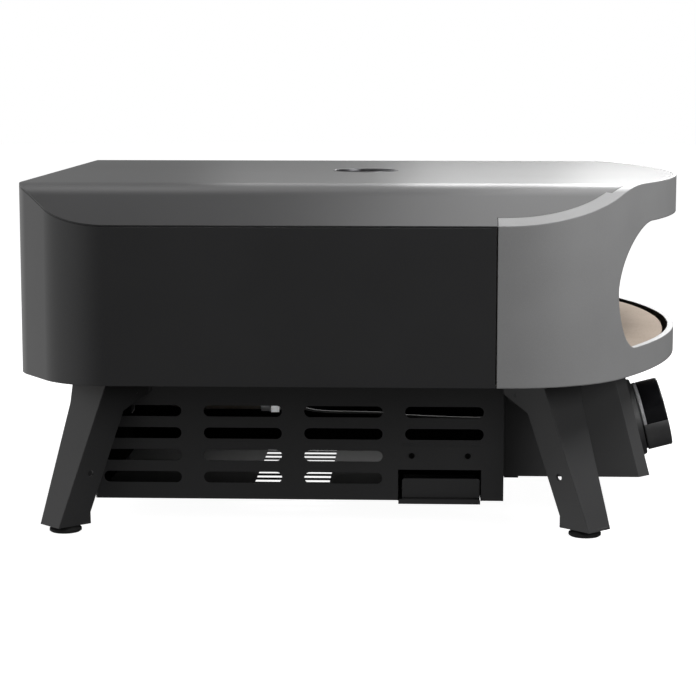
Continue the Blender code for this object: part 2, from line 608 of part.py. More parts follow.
# ---------------------------------------------------------------- roof gauge
cup = turned([(-0.0170, 0.0), (-0.0170, 0.0315), (0.0002, 0.0315), (0.0006, 0.0311), (0.0006, 0.0300), (-0.0010, 0.0296), (-0.0040, 0.0296),
              (-0.0158, 0.0290), (-0.0158, 0.0)], (GAUGE_X, 0, ROOF_Z), (0, 0, 1), 36)
minus(cup, rod((GAUGE_X, 0, ROOF_Z - 0.02), (GAUGE_X, 0, ROOF_Z - 0.01), 0.0034, 12))
finish(cup, "gauge_case", CHROME, smooth=True)
face = turned([(-0.0072, 0.0016), (-0.0072, 0.0286), (-0.0060, 0.0286), (-0.0060, 0.0016)], (GAUGE_X, 0, ROOF_Z), (0, 0, 1), 36)
finish(face, "gauge_dial", DIAL)
glass = turned([(-0.0034, 0.0), (-0.0034, 0.0293), (-0.0018, 0.0293), (-0.0018, 0.0)], (GAUGE_X, 0, ROOF_Z), (0, 0, 1), 36)
finish(glass, "gauge_glass", GLASS, smooth=True)
pin_top = Vector((GAUGE_X, 0, ROOF_Z))
needle = loft([pin_top + Vector((x, y, -0.0054)) for x, y in ((-0.008, -0.0014), (0.0, -0.0016), (0.021, -0.0004), (0.021, 0.0004), (0.0, 0.0016), (-0.008, 0.0014))],
              [pin_top + Vector((x, y, -0.0048)) for x, y in ((-0.008, -0.0014), (0.0, -0.0016), (0.021, -0.0004), (0.021, 0.0004), (0.0, 0.0016), (-0.008, 0.0014))])
plus(needle, turned([(-0.0056, 0.0), (-0.0056, 0.0028), (-0.0042, 0.0024), (-0.0042, 0.0)], pin_top, (0, 0, 1), 14))
finish(needle, "gauge_pointer", RED, origin=pin_top)
spindle = rod(pin_top + Vector((0, 0, -0.0148)), pin_top + Vector((0, 0, -0.0059)), 0.0011, 10)
finish(spindle, "gauge_spindle", STEEL, origin=pin_top)
probe = turned([(-0.0520, 0.0), (-0.0505, 0.0028), (-0.0157, 0.0030), (-0.0157, 0.0056), (-0.0152, 0.0056), (-0.0152, 0.0)], pin_top, (0, 0, 1), 14)
finish(probe, "gauge_probe", STEEL, smooth=True)

# ---------------------------------------------------------------- base
ya, yb = BASE_HALF_W, BASE_HALF_W - SHEET
base = prism([(BASE_X1, -ya), (BASE_X1, -yb), (BASE_X0 + SHEET, -yb), (BASE_X0 + SHEET, yb), (BASE_X1, yb), (BASE_X1, ya), (BASE_X0, ya),
              (BASE_X0, -ya)][::-1], BASE_Z0, BODY_Z0 - GAP)
lipz = BODY_Z0 - GAP
for s in (-1, 1):
    plus(base, box(BASE_X0 + 0.002, BASE_X1, min(s * (ya - 0.0006), s * (ya - 0.013)), max(s * (ya - 0.0006), s * (ya - 0.013)), lipz - SHEET, lipz - 0.00001))
for col in range(4):
    for row in range(4):
        x0, z0 = SLOT_X0 + col * SLOT_PX, SLOT_Z0 + row * SLOT_PZ
        both = not (col == 3 and row < 2)
        minus(base, slot(x0, z0, SLOT_L, SLOT_H, -0.24 if both else 0.18, 0.24))
NOTCH = (0.3353, 0.4095, 0.0495)
minus(base, box(NOTCH[0], NOTCH[1], -0.24, -0.20, 0.0, NOTCH[2]))
SCREWS = (0.3475, 0.3975)
SCREW_Z = 0.0623
for x in SCREWS:
    minus(base, rod((x, -0.24, SCREW_Z), (x, -0.20, SCREW_Z), 0.0017, 12))
# ears for the front leg bolts, ahead of the side walls
fx, fz = 2 * LEG_MID_X - LEG_PIVOT[0], LEG_PIVOT[2]
ear_line = [(0.4150, 0.1250), (0.4294, 0.1185), (0.4344, 0.1124)] + arc((fx, fz), 0.0100, math.radians(-115), 0.0, 6) + [(fx + 0.010, lipz), (0.4150, lipz)]
for s in (-1, 1):
    plus(base, prism(ear_line, min(s * ya, s * yb), max(s * ya, s * yb), "Y"))
for x in (LEG_PIVOT[0], fx):
    for s in (-1, 1):
        minus(base, rod((x, s * 0.20, LEG_PIVOT[2]), (x, s * 0.24, LEG_PIVOT[2]), 0.0034, 14))
minus(base, rod((0.05, INLET[1], INLET[2]), (0.08, INLET[1], INLET[2]), 0.0064, 14))
minus(base, slot(0.001, 0.0652, 0.0300, 0.0100, 0.05, 0.08, "X"))
finish(base, "base_frame", COAT_BASE)

tray = box(BASE_X0 + 0.0016, BASE_X1 - 0.0005, -yb + GAP, yb - GAP, BASE_Z0, BASE_Z0 + SHEET)
for k in range(-7, 4):
    minus(tray, box(0.2010, 0.2708, 0.020 * k - 0.00785, 0.020 * k + 0.00665, 0.0, 0.05))
minus(tray, box(0.3340, 0.4110, -0.24, -0.1560, 0.0, 0.05))
finish(tray, "base_floor", COAT_BASE)

# control box under the mouth: bottom, sides and leaning fascia bent from one sheet
def box_outline(z, inset, rear):
    f = FASCIA_X0 - (z - BOX_Z0) * FASCIA_LEAN - inset * math.sqrt(1 + FASCIA_LEAN ** 2)
    w = BOX_HALF_W - inset
    c = 0.0105 - inset * 0.58
    return [(rear, -w, z), (f - c, -w, z), (f, -w + c, z), (f, w - c, z), (f - c, w, z), (rear, w, z)]


ctrl = loft(box_outline(BOX_Z0, 0, BASE_X1 + GAP), box_outline(BODY_Z0 - GAP, 0, BASE_X1 + GAP))
minus(ctrl, loft(box_outline(BOX_Z0 + SHEET, SHEET, 0.40), box_outline(0.150, SHEET, 0.40)))
minus(ctrl, rod(ax(-0.02), ax(0.02), 0.0095, 20))
for k in range(3):
    for s in (-1, 1):
        minus(ctrl, slot(0.450, s * (0.040 + 0.040 * k), 0.060, 0.008, 0.02, 0.05, "Z", n=3))
plus(ctrl, box(BASE_X1 + 0.0015, BASE_X1 + 0.0145, -BOX_HALF_W + 0.0012, -BOX_HALF_W + 0.0026, BOX_Z0 - 0.0016, BOX_Z0 + 0.0005))
finish(ctrl, "control_box", COAT_BASE)

# battery holder behind the left wall
hx0, hx1 = 0.3347, 0.4102
yi = -yb
holder = box(hx0, hx1, yi + GAP, -0.1575, 0.0255, 0.0508)
minus(holder, box(hx0 + SHEET, hx1 - SHEET, -0.25, -0.1575 - SHEET, 0.02, 0.0508 - SHEET))
plus(holder, box(0.3385, 0.4065, yi + GAP, yi + GAP + SHEET, 0.0500, 0.0721))
for x in SCREWS:
    minus(holder, rod((x, -0.24, SCREW_Z), (x, -0.20, SCREW_Z), 0.0017, 12))
finish(holder, "battery_holder", ZINC)

dx0, dx1 = 0.3357, 0.4087
DRAWER = pivot("drawer_slide_axis", (0.3725, -BASE_HALF_W, 0.0300))
fx0, fx1 = 0.3389, 0.4084
tray2 = box(dx0, dx1, -0.2245, -0.1600, 0.0192, 0.0204)
plus(tray2, prism([(fx0, 0.0195), (fx1, 0.0195), (fx1, 0.0392), (fx1 - 0.0006, 0.0407), (fx1 - 0.0021, 0.0413),
                   (fx0 + 0.0021, 0.0413), (fx0 + 0.0006, 0.0407), (fx0, 0.0392)], -0.2188, -0.2176, "Y"),
     box(dx0, dx1, -0.2245, -0.2233, 0.0193, 0.0236),
     box(fx0 + 0.0004, fx1 - 0.0030, -0.1640, -0.1628, 0.0196, 0.0340),
     box(fx0 + 0.0004, fx0 + 0.0016, -0.2180, -0.1630, 0.0196, 0.0340),
     box(0.4053, 0.4065, -0.2180, -0.1630, 0.0196, 0.0340))
finish(tray2, "battery_drawer", COAT_BASE, parent=DRAWER)
for name, y in (("battery_cell_outer", -0.2085), ("battery_cell_inner", -0.1925)):
    cell = turned([(0, 0.0), (0, 0.0068), (0.0006, 0.00715), (0.0485, 0.00715), (0.0490, 0.0068), (0.0490, 0.0027), (0.0502, 0.0025), (0.0502, 0.0)],
                  (0.3475, y, 0.0281), (1, 0, 0), 20)
    finish(cell, name, CELL, smooth=True, parent=DRAWER)
for name, x in (("battery_screw_rear", SCREWS[0]), ("battery_screw_front", SCREWS[1])):
    sc = turned([(-0.0060, 0.0), (-0.0060, 0.0014), (0.0003, 0.0014), (0.0003, 0.0026), (0.0009, 0.0026), (0.0016, 0.0016), (0.0016, 0.0)],
                (x, -BASE_HALF_W, SCREW_Z), (0, -1, 0), 14)
    finish(sc, name, ZINC)

# ---------------------------------------------------------------- folding legs
LEG_T = 0.002
C_LOW = Vector((0.0401, -0.2794, 0.006))
C_TOP = Vector((0.0822, -0.2559, 0.1376))
D_IN = Vector((1, 1, 0)).normalized()
D_OUT = Vector((-1, 1, 0)).normalized()


def corner(z):
    return C_LOW + (C_TOP - C_LOW) * ((z - C_LOW.z) / (C_TOP.z - C_LOW.z))


def plate(points, normal):
    """Flat plate with its outer face on the points and LEG_T thick against the normal."""
    n = Vector(normal).normalized()
    return loft(points, [p - n * LEG_T for p in points])


def leg_mesh():
    wall_y = -LEG_PIVOT[1] - 0.0005
    reach = lambda z: (wall_y - corner(z).y) * math.sqrt(2)
    inner = [corner(0.006), corner(0.006) + D_IN * 0.0345, corner(0.0165) + D_IN * 0.0298, corner(0.1045) + D_IN * 0.0298,
             corner(0.1185) + D_IN * reach(0.1185), corner(0.1255) + D_IN * reach(0.1255), corner(LEG_TOP_Z)]
    axis = (C_TOP - C_LOW).normalized()
    n_in = D_IN.cross(axis)
    if n_in.dot(Vector((1, -1, 0))) < 0:
        n_in = -n_in
    n_out = D_OUT.cross(axis)
    if n_out.dot(Vector((-1, -1, 0))) < 0:
        n_out = -n_out
    outer = [corner(0.006), corner(LEG_TOP_Z), corner(LEG_TOP_Z) + D_OUT * 0.0500, corner(0.110) + D_OUT * 0.0417, corner(0.006) + D_OUT * 0.0277]
    top_x = corner(0.110).x - 0.0417 / math.sqrt(2)
    outer[2] = corner(LEG_TOP_Z) + D_OUT * ((corner(LEG_TOP_Z).x - top_x) * math.sqrt(2) - 0.002)
    leg = plate(inner, n_in)
    plus(leg, plate(outer, n_out))
    # hinge ear lying on the base wall
    px, pw, pz = LEG_PIVOT
    ear = rod((px, -pw - 0.001, pz), (px, -pw + 0.001, pz), 0.0100, 24)
    plus(ear, box(px, px + 0.0137, -pw - 0.001, -pw + 0.001, pz - 0.0005, pz + 0.0055))
    plus(leg, ear)
    foot_plate = prism([(C_LOW.x, C_LOW.y + 0.0010), (0.0638, -0.2562), (0.0530, -0.2450), (0.0340, -0.2450), (0.0210, -0.2600)], 0.006, 0.0080)
    plus(leg, foot_plate)
    minus(leg, rod((px, -pw - 0.01, pz), (px, -pw + 0.01, pz), 0.0034, 14))
    hole = corner(0.0516) + D_IN * 0.0158
    minus(leg, rod(hole - n_in * 0.01, hole + n_in * 0.01, 0.0030, 16))
    return leg


PAD_C = (0.0427, -0.2590)
rear_left = leg_mesh()
for name, flip_x, flip_y in (("rear_left", False, False), ("front_left", True, False), ("rear_right", False, True), ("front_right", True, True)):
    px = 2 * LEG_MID_X - LEG_PIVOT[0] if flip_x else LEG_PIVOT[0]
    s = 1 if flip_y else -1
    fx = 2 * LEG_MID_X - PAD_C[0] if flip_x else PAD_C[0]
    P = Vector((px, s * LEG_PIVOT[1], LEG_PIVOT[2]))
    hinge = pivot("leg_hinge_" + name, P)
    bm = bmesh.new()
    bm.from_mesh(rear_left.data)
    ob = obj_from(bm)
    if flip_x:
        new = flipped_x(ob, LEG_MID_X)
        bpy.data.objects.remove(ob, do_unlink=True)
        ob = new
    if flip_y:
        new = mirrored(ob)
        bpy.data.objects.remove(ob, do_unlink=True)
        ob = new
    finish(ob, "leg_" + name, COAT_BASE, origin=P, parent=hinge)
    pad = turned([(0, 0.0), (0, 0.0128), (0.0010, 0.0142), (0.0030, 0.0142), (0.0056, 0.0105), (0.0056, 0.0)], (fx, s * -PAD_C[1], 0), (0, 0, 1), 24)
    finish(pad, "foot_" + name, RUBBER, smooth=True, parent=hinge)
    bolt = turned([(-0.0075, 0.0), (-0.0075, 0.0054), (-0.0030, 0.0054), (-0.0030, 0.0031), (0.0014, 0.0031),
                   (0.0014, 0.0056), (0.0030, 0.0056), (0.0042, 0.0040), (0.0042, 0.0)], P, (0, s, 0), 14)
    finish(bolt, "leg_bolt_" + name, ZINC)
bpy.data.objects.remove(rear_left, do_unlink=True)
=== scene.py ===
import bpy
import bmesh
import math
from mathutils import Matrix, Vector, noise


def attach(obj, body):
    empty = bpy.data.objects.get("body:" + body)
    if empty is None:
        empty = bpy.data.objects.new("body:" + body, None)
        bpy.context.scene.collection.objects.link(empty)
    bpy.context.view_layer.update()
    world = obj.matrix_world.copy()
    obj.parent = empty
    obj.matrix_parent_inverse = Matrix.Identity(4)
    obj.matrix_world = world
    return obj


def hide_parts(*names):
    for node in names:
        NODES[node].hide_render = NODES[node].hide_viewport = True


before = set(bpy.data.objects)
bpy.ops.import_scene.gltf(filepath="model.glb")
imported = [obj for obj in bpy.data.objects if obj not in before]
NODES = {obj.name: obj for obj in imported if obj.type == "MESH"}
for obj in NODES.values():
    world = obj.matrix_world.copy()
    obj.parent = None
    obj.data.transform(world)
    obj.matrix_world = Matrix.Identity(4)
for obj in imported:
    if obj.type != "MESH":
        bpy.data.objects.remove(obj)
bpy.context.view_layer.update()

SCN = bpy.context.scene

# ---------------------------------------------------------------- sizes, as in the model
SH = 0.3021                      # back wall stands this far behind the origin
BODY_L, BODY_HALF_W, ROOF_Z, WALL_TOP_Z, BODY_Z0 = 0.600, 0.3126, 0.305, 0.27435, 0.1376
CHAMFER_Y, BEND_R = 0.2382, 0.120
FRONT_R, CORNER_R = 0.4884, 0.1214
BACK_FLAT_Y, FACET_X, BACK_R, SIDE_R = 0.2338, 0.0525, 0.060, 0.070
SHEET, GAP, SEAM_X, LIP_T, STRIP_W = 0.0012, 0.0003, 0.4189, 0.0058, 0.0145
LIP_Z, MOUTH_TOP_Z, MOUTH_WIDE_Z, MOUTH_S = 0.1618, 0.2709, 0.2143, 0.2732
STONE_TOP_Z, STONE_T = 0.1595, 0.012
GAUGE_X, GAUGE_R = 0.2994, 0.0323

# ---------------------------------------------------------------- camera
cam_data = bpy.data.cameras.new("view_camera")
cam = bpy.data.objects.new("view_camera", cam_data)
SCN.collection.objects.link(cam)
cam_data.sensor_width = 36.0
cam_data.lens = 106.96
cam_data.clip_start, cam_data.clip_end = 0.05, 60.0
fwd = Vector((-0.0376, 0.9902, -0.1348)).normalized()
up = Vector((-0.0057, 0.1347, 0.9909))
right = fwd.cross(up).normalized()
up = right.cross(fwd)
cam.matrix_world = Matrix(((right.x, up.x, -fwd.x, 0.3595 - SH), (right.y, up.y, -fwd.y, -2.0363), (right.z, up.z, -fwd.z, 0.4061), (0, 0, 0, 1)))
SCN.camera = cam
SCN.view_settings.view_transform = "Standard"
SCN.view_settings.look = "None"
SCN.view_settings.exposure = 0.0
SCN.view_settings.gamma = 1.0

# ---------------------------------------------------------------- light
world = bpy.data.worlds.new("studio")
SCN.world = world
world.use_nodes = True
wt = world.node_tree
wt.nodes.clear()
w_out = wt.nodes.new("ShaderNodeOutputWorld")
w_mix = wt.nodes.new("ShaderNodeMixShader")
w_seen = wt.nodes.new("ShaderNodeBackground")
w_seen.inputs[0].default_value = (1.0, 1.0, 1.0, 1.0)
w_seen.inputs[1].default_value = 1.0
w_light = wt.nodes.new("ShaderNodeBackground")
w_path = wt.nodes.new("ShaderNodeLightPath")
w_co = wt.nodes.new("ShaderNodeTexCoord")
w_sum = None
for toward, strength in (((-1.0, 0.2, 0.0), 0.900), ((0.0, 1.0, 0.1), 0.108), ((0.0, -1.0, 0.0), 0.121)):
    w_dot = wt.nodes.new("ShaderNodeVectorMath")
    w_dot.operation = "DOT_PRODUCT"
    w_dot.inputs[1].default_value = Vector(toward).normalized()
    wt.links.new(w_co.outputs["Generated"], w_dot.inputs[0])
    w_ramp = wt.nodes.new("ShaderNodeMapRange")
    w_ramp.interpolation_type = "SMOOTHSTEP"
    w_ramp.inputs[3].default_value, w_ramp.inputs[4].default_value = 0.0, strength
    wt.links.new(w_dot.outputs["Value"], w_ramp.inputs[0])
    if w_sum is None:
        w_sum = w_ramp.outputs[0]
    else:
        w_add = wt.nodes.new("ShaderNodeMath")
        wt.links.new(w_sum, w_add.inputs[0])
        wt.links.new(w_ramp.outputs[0], w_add.inputs[1])
        w_sum = w_add.outputs[0]
wt.links.new(w_sum, w_light.inputs[1])
wt.links.new(w_path.outputs["Is Camera Ray"], w_mix.inputs[0])
wt.links.new(w_light.outputs[0], w_mix.inputs[1])
wt.links.new(w_seen.outputs[0], w_mix.inputs[2])
wt.links.new(w_mix.outputs[0], w_out.inputs[0])


def area(name, place, aim, size_x, size_y, power):
    d = bpy.data.lights.new(name, "AREA")
    d.energy = power
    d.shape = "RECTANGLE"
    d.size, d.size_y = size_x, size_y
    o = bpy.data.objects.new(name, d)
    SCN.collection.objects.link(o)
    o.location = place
    o.rotation_euler = (Vector(aim) - Vector(place)).to_track_quat("-Z", "Y").to_euler()
    o.visible_camera = False
    return o


area("soft_right", (1.8, -1.6, 0.9), (0.2, -0.2, 0.2), 1.2, 1.2, 17.9)
area("soft_above", (0.5, 0.6, 1.6), (0.1, 0, 0.3), 1.2, 1.2, 8.96)
area("soft_above_right", (0.9, -0.2, 1.4), (0.2, 0, 0.3), 0.7, 0.7, 15.65)
area("soft_above_front", (0.3, -1.2, 2.0), (0.1, 0, 0.3), 1.6, 0.6, 13.96)
area("soft_above_back", (0.3, 1.2, 1.3), (0.3, 0, 0.3), 2.0, 0.3, 1.76)
# a row of panels behind the roof, stronger to the right
for k, watt in ((1, 0.44), (2, 1.85), (3, 3.70)):
    area(f"soft_back_{k}", (-0.45 + 0.3 * k, 1.6, 0.86), (-0.45 + 0.3 * k, 0, 0.3), 0.34, 0.32, watt)
# a faint fill between the base walls, so that the floor louvres and the gas parts read through the slots
area("fill_base", (0.300 - SH, -0.055, 0.128), (0.300 - SH, -0.020, 0.022), 0.24, 0.03, 0.10)

# floor
bm = bmesh.new()
ring = [bm.verts.new((9 * math.cos(a), 9 * math.sin(a), -0.0002)) for a in (2 * math.pi * k / 64 for k in range(64))]
bm.faces.new(ring)
me = bpy.data.meshes.new("floor")
bm.to_mesh(me)
bm.free()
floor = bpy.data.objects.new("floor", me)
SCN.collection.objects.link(floor)
fm = bpy.data.materials.new("floor_paper")
fm.use_nodes = True
ft = fm.node_tree
fp = ft.nodes["Principled BSDF"]
grain = ft.nodes.new("ShaderNodeTexNoise")
grain.inputs["Scale"].default_value = 340.0
shade = ft.nodes.new("ShaderNodeMapRange")
shade.inputs[3].default_value, shade.inputs[4].default_value = 0.36, 0.40
ft.links.new(grain.outputs["Fac"], shade.inputs[0])
ft.links.new(shade.outputs[0], fp.inputs["Base Color"])
fp.inputs["Roughness"].default_value = 0.9
fp.inputs["Specular IOR Level"].default_value = 0.0
fp.inputs["Emission Color"].default_value = (1.0, 1.0, 1.0, 1.0)
fp.inputs["Emission Strength"].default_value = 0.96
floor.data.materials.append(fm)
floor.visible_diffuse = floor.visible_glossy = floor.visible_transmission = False


# ---------------------------------------------------------------- materials
def new_material(name):
    m = bpy.data.materials.new(name)
    m.use_nodes = True
    t = m.node_tree
    p = t.nodes["Principled BSDF"]
    co = t.nodes.new("ShaderNodeTexCoord")
    return m, t, p, co.outputs["Object"]


def noise_tex(t, co, scale, detail=3.0, rough=0.5, stretch=None, distortion=0.0):
    if stretch:
        mp = t.nodes.new("ShaderNodeMapping")
        mp.inputs["Scale"].default_value = stretch
        t.links.new(co, mp.inputs["Vector"])
        co = mp.outputs[0]
    n = t.nodes.new("ShaderNodeTexNoise")
    n.inputs["Scale"].default_value = scale
    n.inputs["Detail"].default_value = detail
    n.inputs["Roughness"].default_value = rough
    n.inputs["Distortion"].default_value = distortion
    t.links.new(co, n.inputs["Vector"])
    return n.outputs["Fac"]


def ranged(t, value, lo, hi, out_lo, out_hi):
    r = t.nodes.new("ShaderNodeMapRange")
    for i, v in enumerate((lo, hi, out_lo, out_hi)):
        r.inputs[i + 1].default_value = v
    t.links.new(value, r.inputs[0])
    return r.outputs[0]


def mixed(t, fac, a, b, blend="MIX"):
    m = t.nodes.new("ShaderNodeMix")
    m.data_type = "RGBA"
    m.blend_type = blend
    for sock, v in ((m.inputs[0], fac), (m.inputs[6], a), (m.inputs[7], b)):
        if isinstance(v, bpy.types.NodeSocket):
            t.links.new(v, sock)
        elif sock.type == "VALUE":
            sock.default_value = v
        else:
            sock.default_value = (*v, 1.0)
    return m.outputs[2]


def calc(t, op, a, b=None, c=None):
    m = t.nodes.new("ShaderNodeMath")
    m.operation = op
    for i, v in enumerate((a, b, c)):
        if v is None:
            continue
        if isinstance(v, bpy.types.NodeSocket):
            t.links.new(v, m.inputs[i])
        else:
            m.inputs[i].default_value = v
    return m.outputs[0]


def rounded_normal(t, radius, samples=4):
    b = t.nodes.new("ShaderNodeBevel")
    b.samples = samples
    b.inputs["Radius"].default_value = radius
    return b.outputs[0]


def bumped(t, height, strength, distance, normal=None):
    b = t.nodes.new("ShaderNodeBump")
    b.inputs["Strength"].default_value = strength
    b.inputs["Distance"].default_value = distance
    t.links.new(height, b.inputs["Height"])
    if normal is not None:
        t.links.new(normal, b.inputs["Normal"])
    return b.outputs[0]


def edge_mask(t, radius, gain):
    """1 on convex and concave edges, 0 on flats."""
    rn = rounded_normal(t, radius, 4)
    g = t.nodes.new("ShaderNodeNewGeometry")
    d = t.nodes.new("ShaderNodeVectorMath")
    d.operation = "DOT_PRODUCT"
    t.links.new(rn, d.inputs[0])
    t.links.new(g.outputs["Normal"], d.inputs[1])
    s = calc(t, "SUBTRACT", 1.0, d.outputs["Value"])
    c = t.nodes.new("ShaderNodeClamp")
    t.links.new(calc(t, "MULTIPLY", s, gain), c.inputs[0])
    return c.outputs[0]


def inner_side(t, co, x_min, x_max, half_w, z_max):
    """1 inside a box given in the row frame, 0 outside it."""
    sep = t.nodes.new("ShaderNodeSeparateXYZ")
    t.links.new(co, sep.inputs[0])
    x, y, z = sep.outputs
    a = calc(t, "MULTIPLY", calc(t, "GREATER_THAN", x, x_min), calc(t, "LESS_THAN", x, x_max))
    b = calc(t, "MULTIPLY", calc(t, "LESS_THAN", calc(t, "ABSOLUTE", y), half_w), calc(t, "LESS_THAN", z, z_max))
    return calc(t, "MULTIPLY", a, b)


def facing(t, axis, lo, hi):
    """0 to 1 as the face turns from lo to hi along an axis."""
    geo = t.nodes.new("ShaderNodeNewGeometry")
    sep = t.nodes.new("ShaderNodeSeparateXYZ")
    t.links.new(geo.outputs["Normal"], sep.inputs[0])
    return ranged(t, sep.outputs[axis], lo, hi, 0.0, 1.0)


def powder_coat(name, rgb, rough, light=1.22, grain=1500.0, bump=0.10, wear=0.35, spec=0.5, metallic=0.0, edge=0.0007, inside=None, inner_shade_light_rgb=(0.004, 0.004, 0.004), floor_shade_light_band=False, vary=0.05, painted_lit_top=False):
    """Baked powder paint: fine orange peel, faint clouding, dust in the hollows and slightly rubbed edges. With inside,
    faces within the given box take the inner colour, rougher and without specular: painted shade inside the casing; on
    the base floor the inner colours make a painted lit band across the middle and painted shade towards both walls.
    With the lit-top switch, faces turned up are painted lighter as a painted highlight and faces turned back are
    painted near black as painted shade.
    """
    m, t, p, co = new_material(name)
    cloud = noise_tex(t, co, 9.0, 3.0, 0.55)
    speck = noise_tex(t, co, grain, 1.0, 0.4)
    lighter = tuple(min(1.0, c * light) for c in rgb)
    darker = tuple(c * 0.88 for c in rgb)
    col = mixed(t, ranged(t, cloud, 0.35, 0.65, 0.0, 1.0), darker, rgb)
    col = mixed(t, ranged(t, speck, 0.42, 0.66, 0.0, 0.5), col, lighter)
    rub = calc(t, "MULTIPLY", edge_mask(t, 0.0011, 5.0), ranged(t, noise_tex(t, co, 55.0, 4.0, 0.7), 0.50, 0.68, 0.0, wear))
    col = mixed(t, rub, col, tuple(min(1.0, c * 2.1 + 0.02) for c in rgb))
    streak = noise_tex(t, co, 3.0, 5.0, 0.65, distortion=0.4)
    r = calc(t, "ADD", ranged(t, streak, 0.3, 0.7, rough - vary, rough + vary), ranged(t, speck, 0.3, 0.7, -vary * 0.6, vary * 0.6))
    p.inputs["Specular IOR Level"].default_value = spec
    if painted_lit_top:
        # painted highlight: faces turned up are painted 2.4 times lighter, as if lit from above
        col = mixed(t, facing(t, 2, 0.955, 0.985), col, tuple(min(1.0, c * 2.4) for c in rgb))
        # painted shade: faces turned towards the back are painted near black and rougher, shade in the gap behind the
        # panel
        back = facing(t, 0, -0.10, -0.20)
        col = mixed(t, back, col, inner_shade_light_rgb)
        r = calc(t, "ADD", r, calc(t, "MULTIPLY", back, 0.40))
    if inside:
        # painted shade: faces inside the given box take the inner colour, rougher and without specular
        mask = inner_side(t, co, *inside)
        if floor_shade_light_band:
            # painted light and shade on the base floor: the middle keeps the lighter inner colour as a painted lit
            # band, darker towards -Y, near black towards +Y
            sep = t.nodes.new("ShaderNodeSeparateXYZ")
            t.links.new(co, sep.inputs[0])
            inner_shade_light_rgb = mixed(t, ranged(t, sep.outputs[1], -0.085, -0.060, 0.0, 1.0), tuple(c * 0.35 for c in inner_shade_light_rgb), inner_shade_light_rgb)
            inner_shade_light_rgb = mixed(t, ranged(t, sep.outputs[1], 0.025, 0.055, 0.0, 1.0), inner_shade_light_rgb, (0.0015, 0.0015, 0.0015))
        col = mixed(t, mask, col, inner_shade_light_rgb)
        r = calc(t, "ADD", r, calc(t, "MULTIPLY", mask, 0.45))
        t.links.new(calc(t, "MULTIPLY", calc(t, "SUBTRACT", 1.0, calc(t, "MULTIPLY", mask, 1.0)), spec), p.inputs["Specular IOR Level"])
    t.links.new(col, p.inputs["Base Color"])
    t.links.new(r, p.inputs["Roughness"])
    p.inputs["Metallic"].default_value = metallic
    peel = noise_tex(t, co, grain * 0.55, 2.0, 0.5)
    t.links.new(bumped(t, peel, bump, 0.0003, rounded_normal(t, edge)), p.inputs["Normal"])
    return m


def sheet_steel(name, rgb, rough, lines=(3.0, 220.0, 220.0), scale=8.0, tint=None, edge=0.0005, bump=0.05):
    """Rolled or brushed bright metal, with fine lines along X and, if asked, heat tint."""
    m, t, p, co = new_material(name)
    brush = noise_tex(t, co, scale, 4.0, 0.6, stretch=lines)
    blotch = noise_tex(t, co, 14.0, 3.0, 0.6)
    col = mixed(t, ranged(t, brush, 0.3, 0.7, 0.0, 1.0), tuple(c * 0.86 for c in rgb), rgb)
    if tint:
        col = mixed(t, ranged(t, blotch, 0.40, 0.68, 0.0, 0.75), col, tint)
    t.links.new(col, p.inputs["Base Color"])
    p.inputs["Metallic"].default_value = 1.0
    r = calc(t, "ADD", ranged(t, brush, 0.3, 0.7, rough - 0.06, rough + 0.08), ranged(t, blotch, 0.3, 0.7, -0.04, 0.06))
    t.links.new(r, p.inputs["Roughness"])
    t.links.new(bumped(t, brush, bump, 0.0002, rounded_normal(t, edge)), p.inputs["Normal"])
    return m


def moulded(name, rgb, rough, grain=2400.0, bump=0.05, edge=0.0006, spec=0.5, coat=0.0):
    m, t, p, co = new_material(name)
    fine = noise_tex(t, co, grain, 2.0, 0.5)
    smear = noise_tex(t, co, 60.0, 4.0, 0.6)
    col = mixed(t, ranged(t, smear, 0.35, 0.7, 0.0, 1.0), rgb, tuple(min(1.0, c * 1.35 + 0.002) for c in rgb))
    t.links.new(col, p.inputs["Base Color"])
    t.links.new(ranged(t, smear, 0.3, 0.7, max(0.03, rough - 0.04), rough + 0.06), p.inputs["Roughness"])
    p.inputs["Specular IOR Level"].default_value = spec
    p.inputs["Coat Weight"].default_value = coat
    p.inputs["Coat Roughness"].default_value = 0.08
    t.links.new(bumped(t, fine, bump, 0.0002, rounded_normal(t, edge)), p.inputs["Normal"])
    return m


M = {}
M["body"] = powder_coat("body_coat_dark", (0.031, 0.031, 0.032), 0.30, bump=0.025, vary=0.012)
# front panel: up-facing faces painted lighter as a painted highlight, back-facing faces painted near black as painted
# shade
M["front"] = powder_coat("front_coat_grey", (0.284, 0.284, 0.286), 0.52, light=1.10, grain=2600.0, bump=0.03, wear=0.12, edge=0.0016, painted_lit_top=True)
# base: the inner side is painted near black as painted shade inside the base
M["base"] = powder_coat("base_coat_black", (0.036, 0.036, 0.037), 0.46, inside=(0.0639 - SH, 0.4292 - SH, 0.2199, 0.1363))
# base floor: inside, a painted lit band across the middle and painted shade towards both walls
M["floor_coat"] = powder_coat("base_floor_coat", (0.026, 0.026, 0.027), 0.50, inside=(0.0639 - SH, 0.4292 - SH, 0.2199, 0.1363), inner_shade_light_rgb=(0.110, 0.110, 0.110), floor_shade_light_band=True)
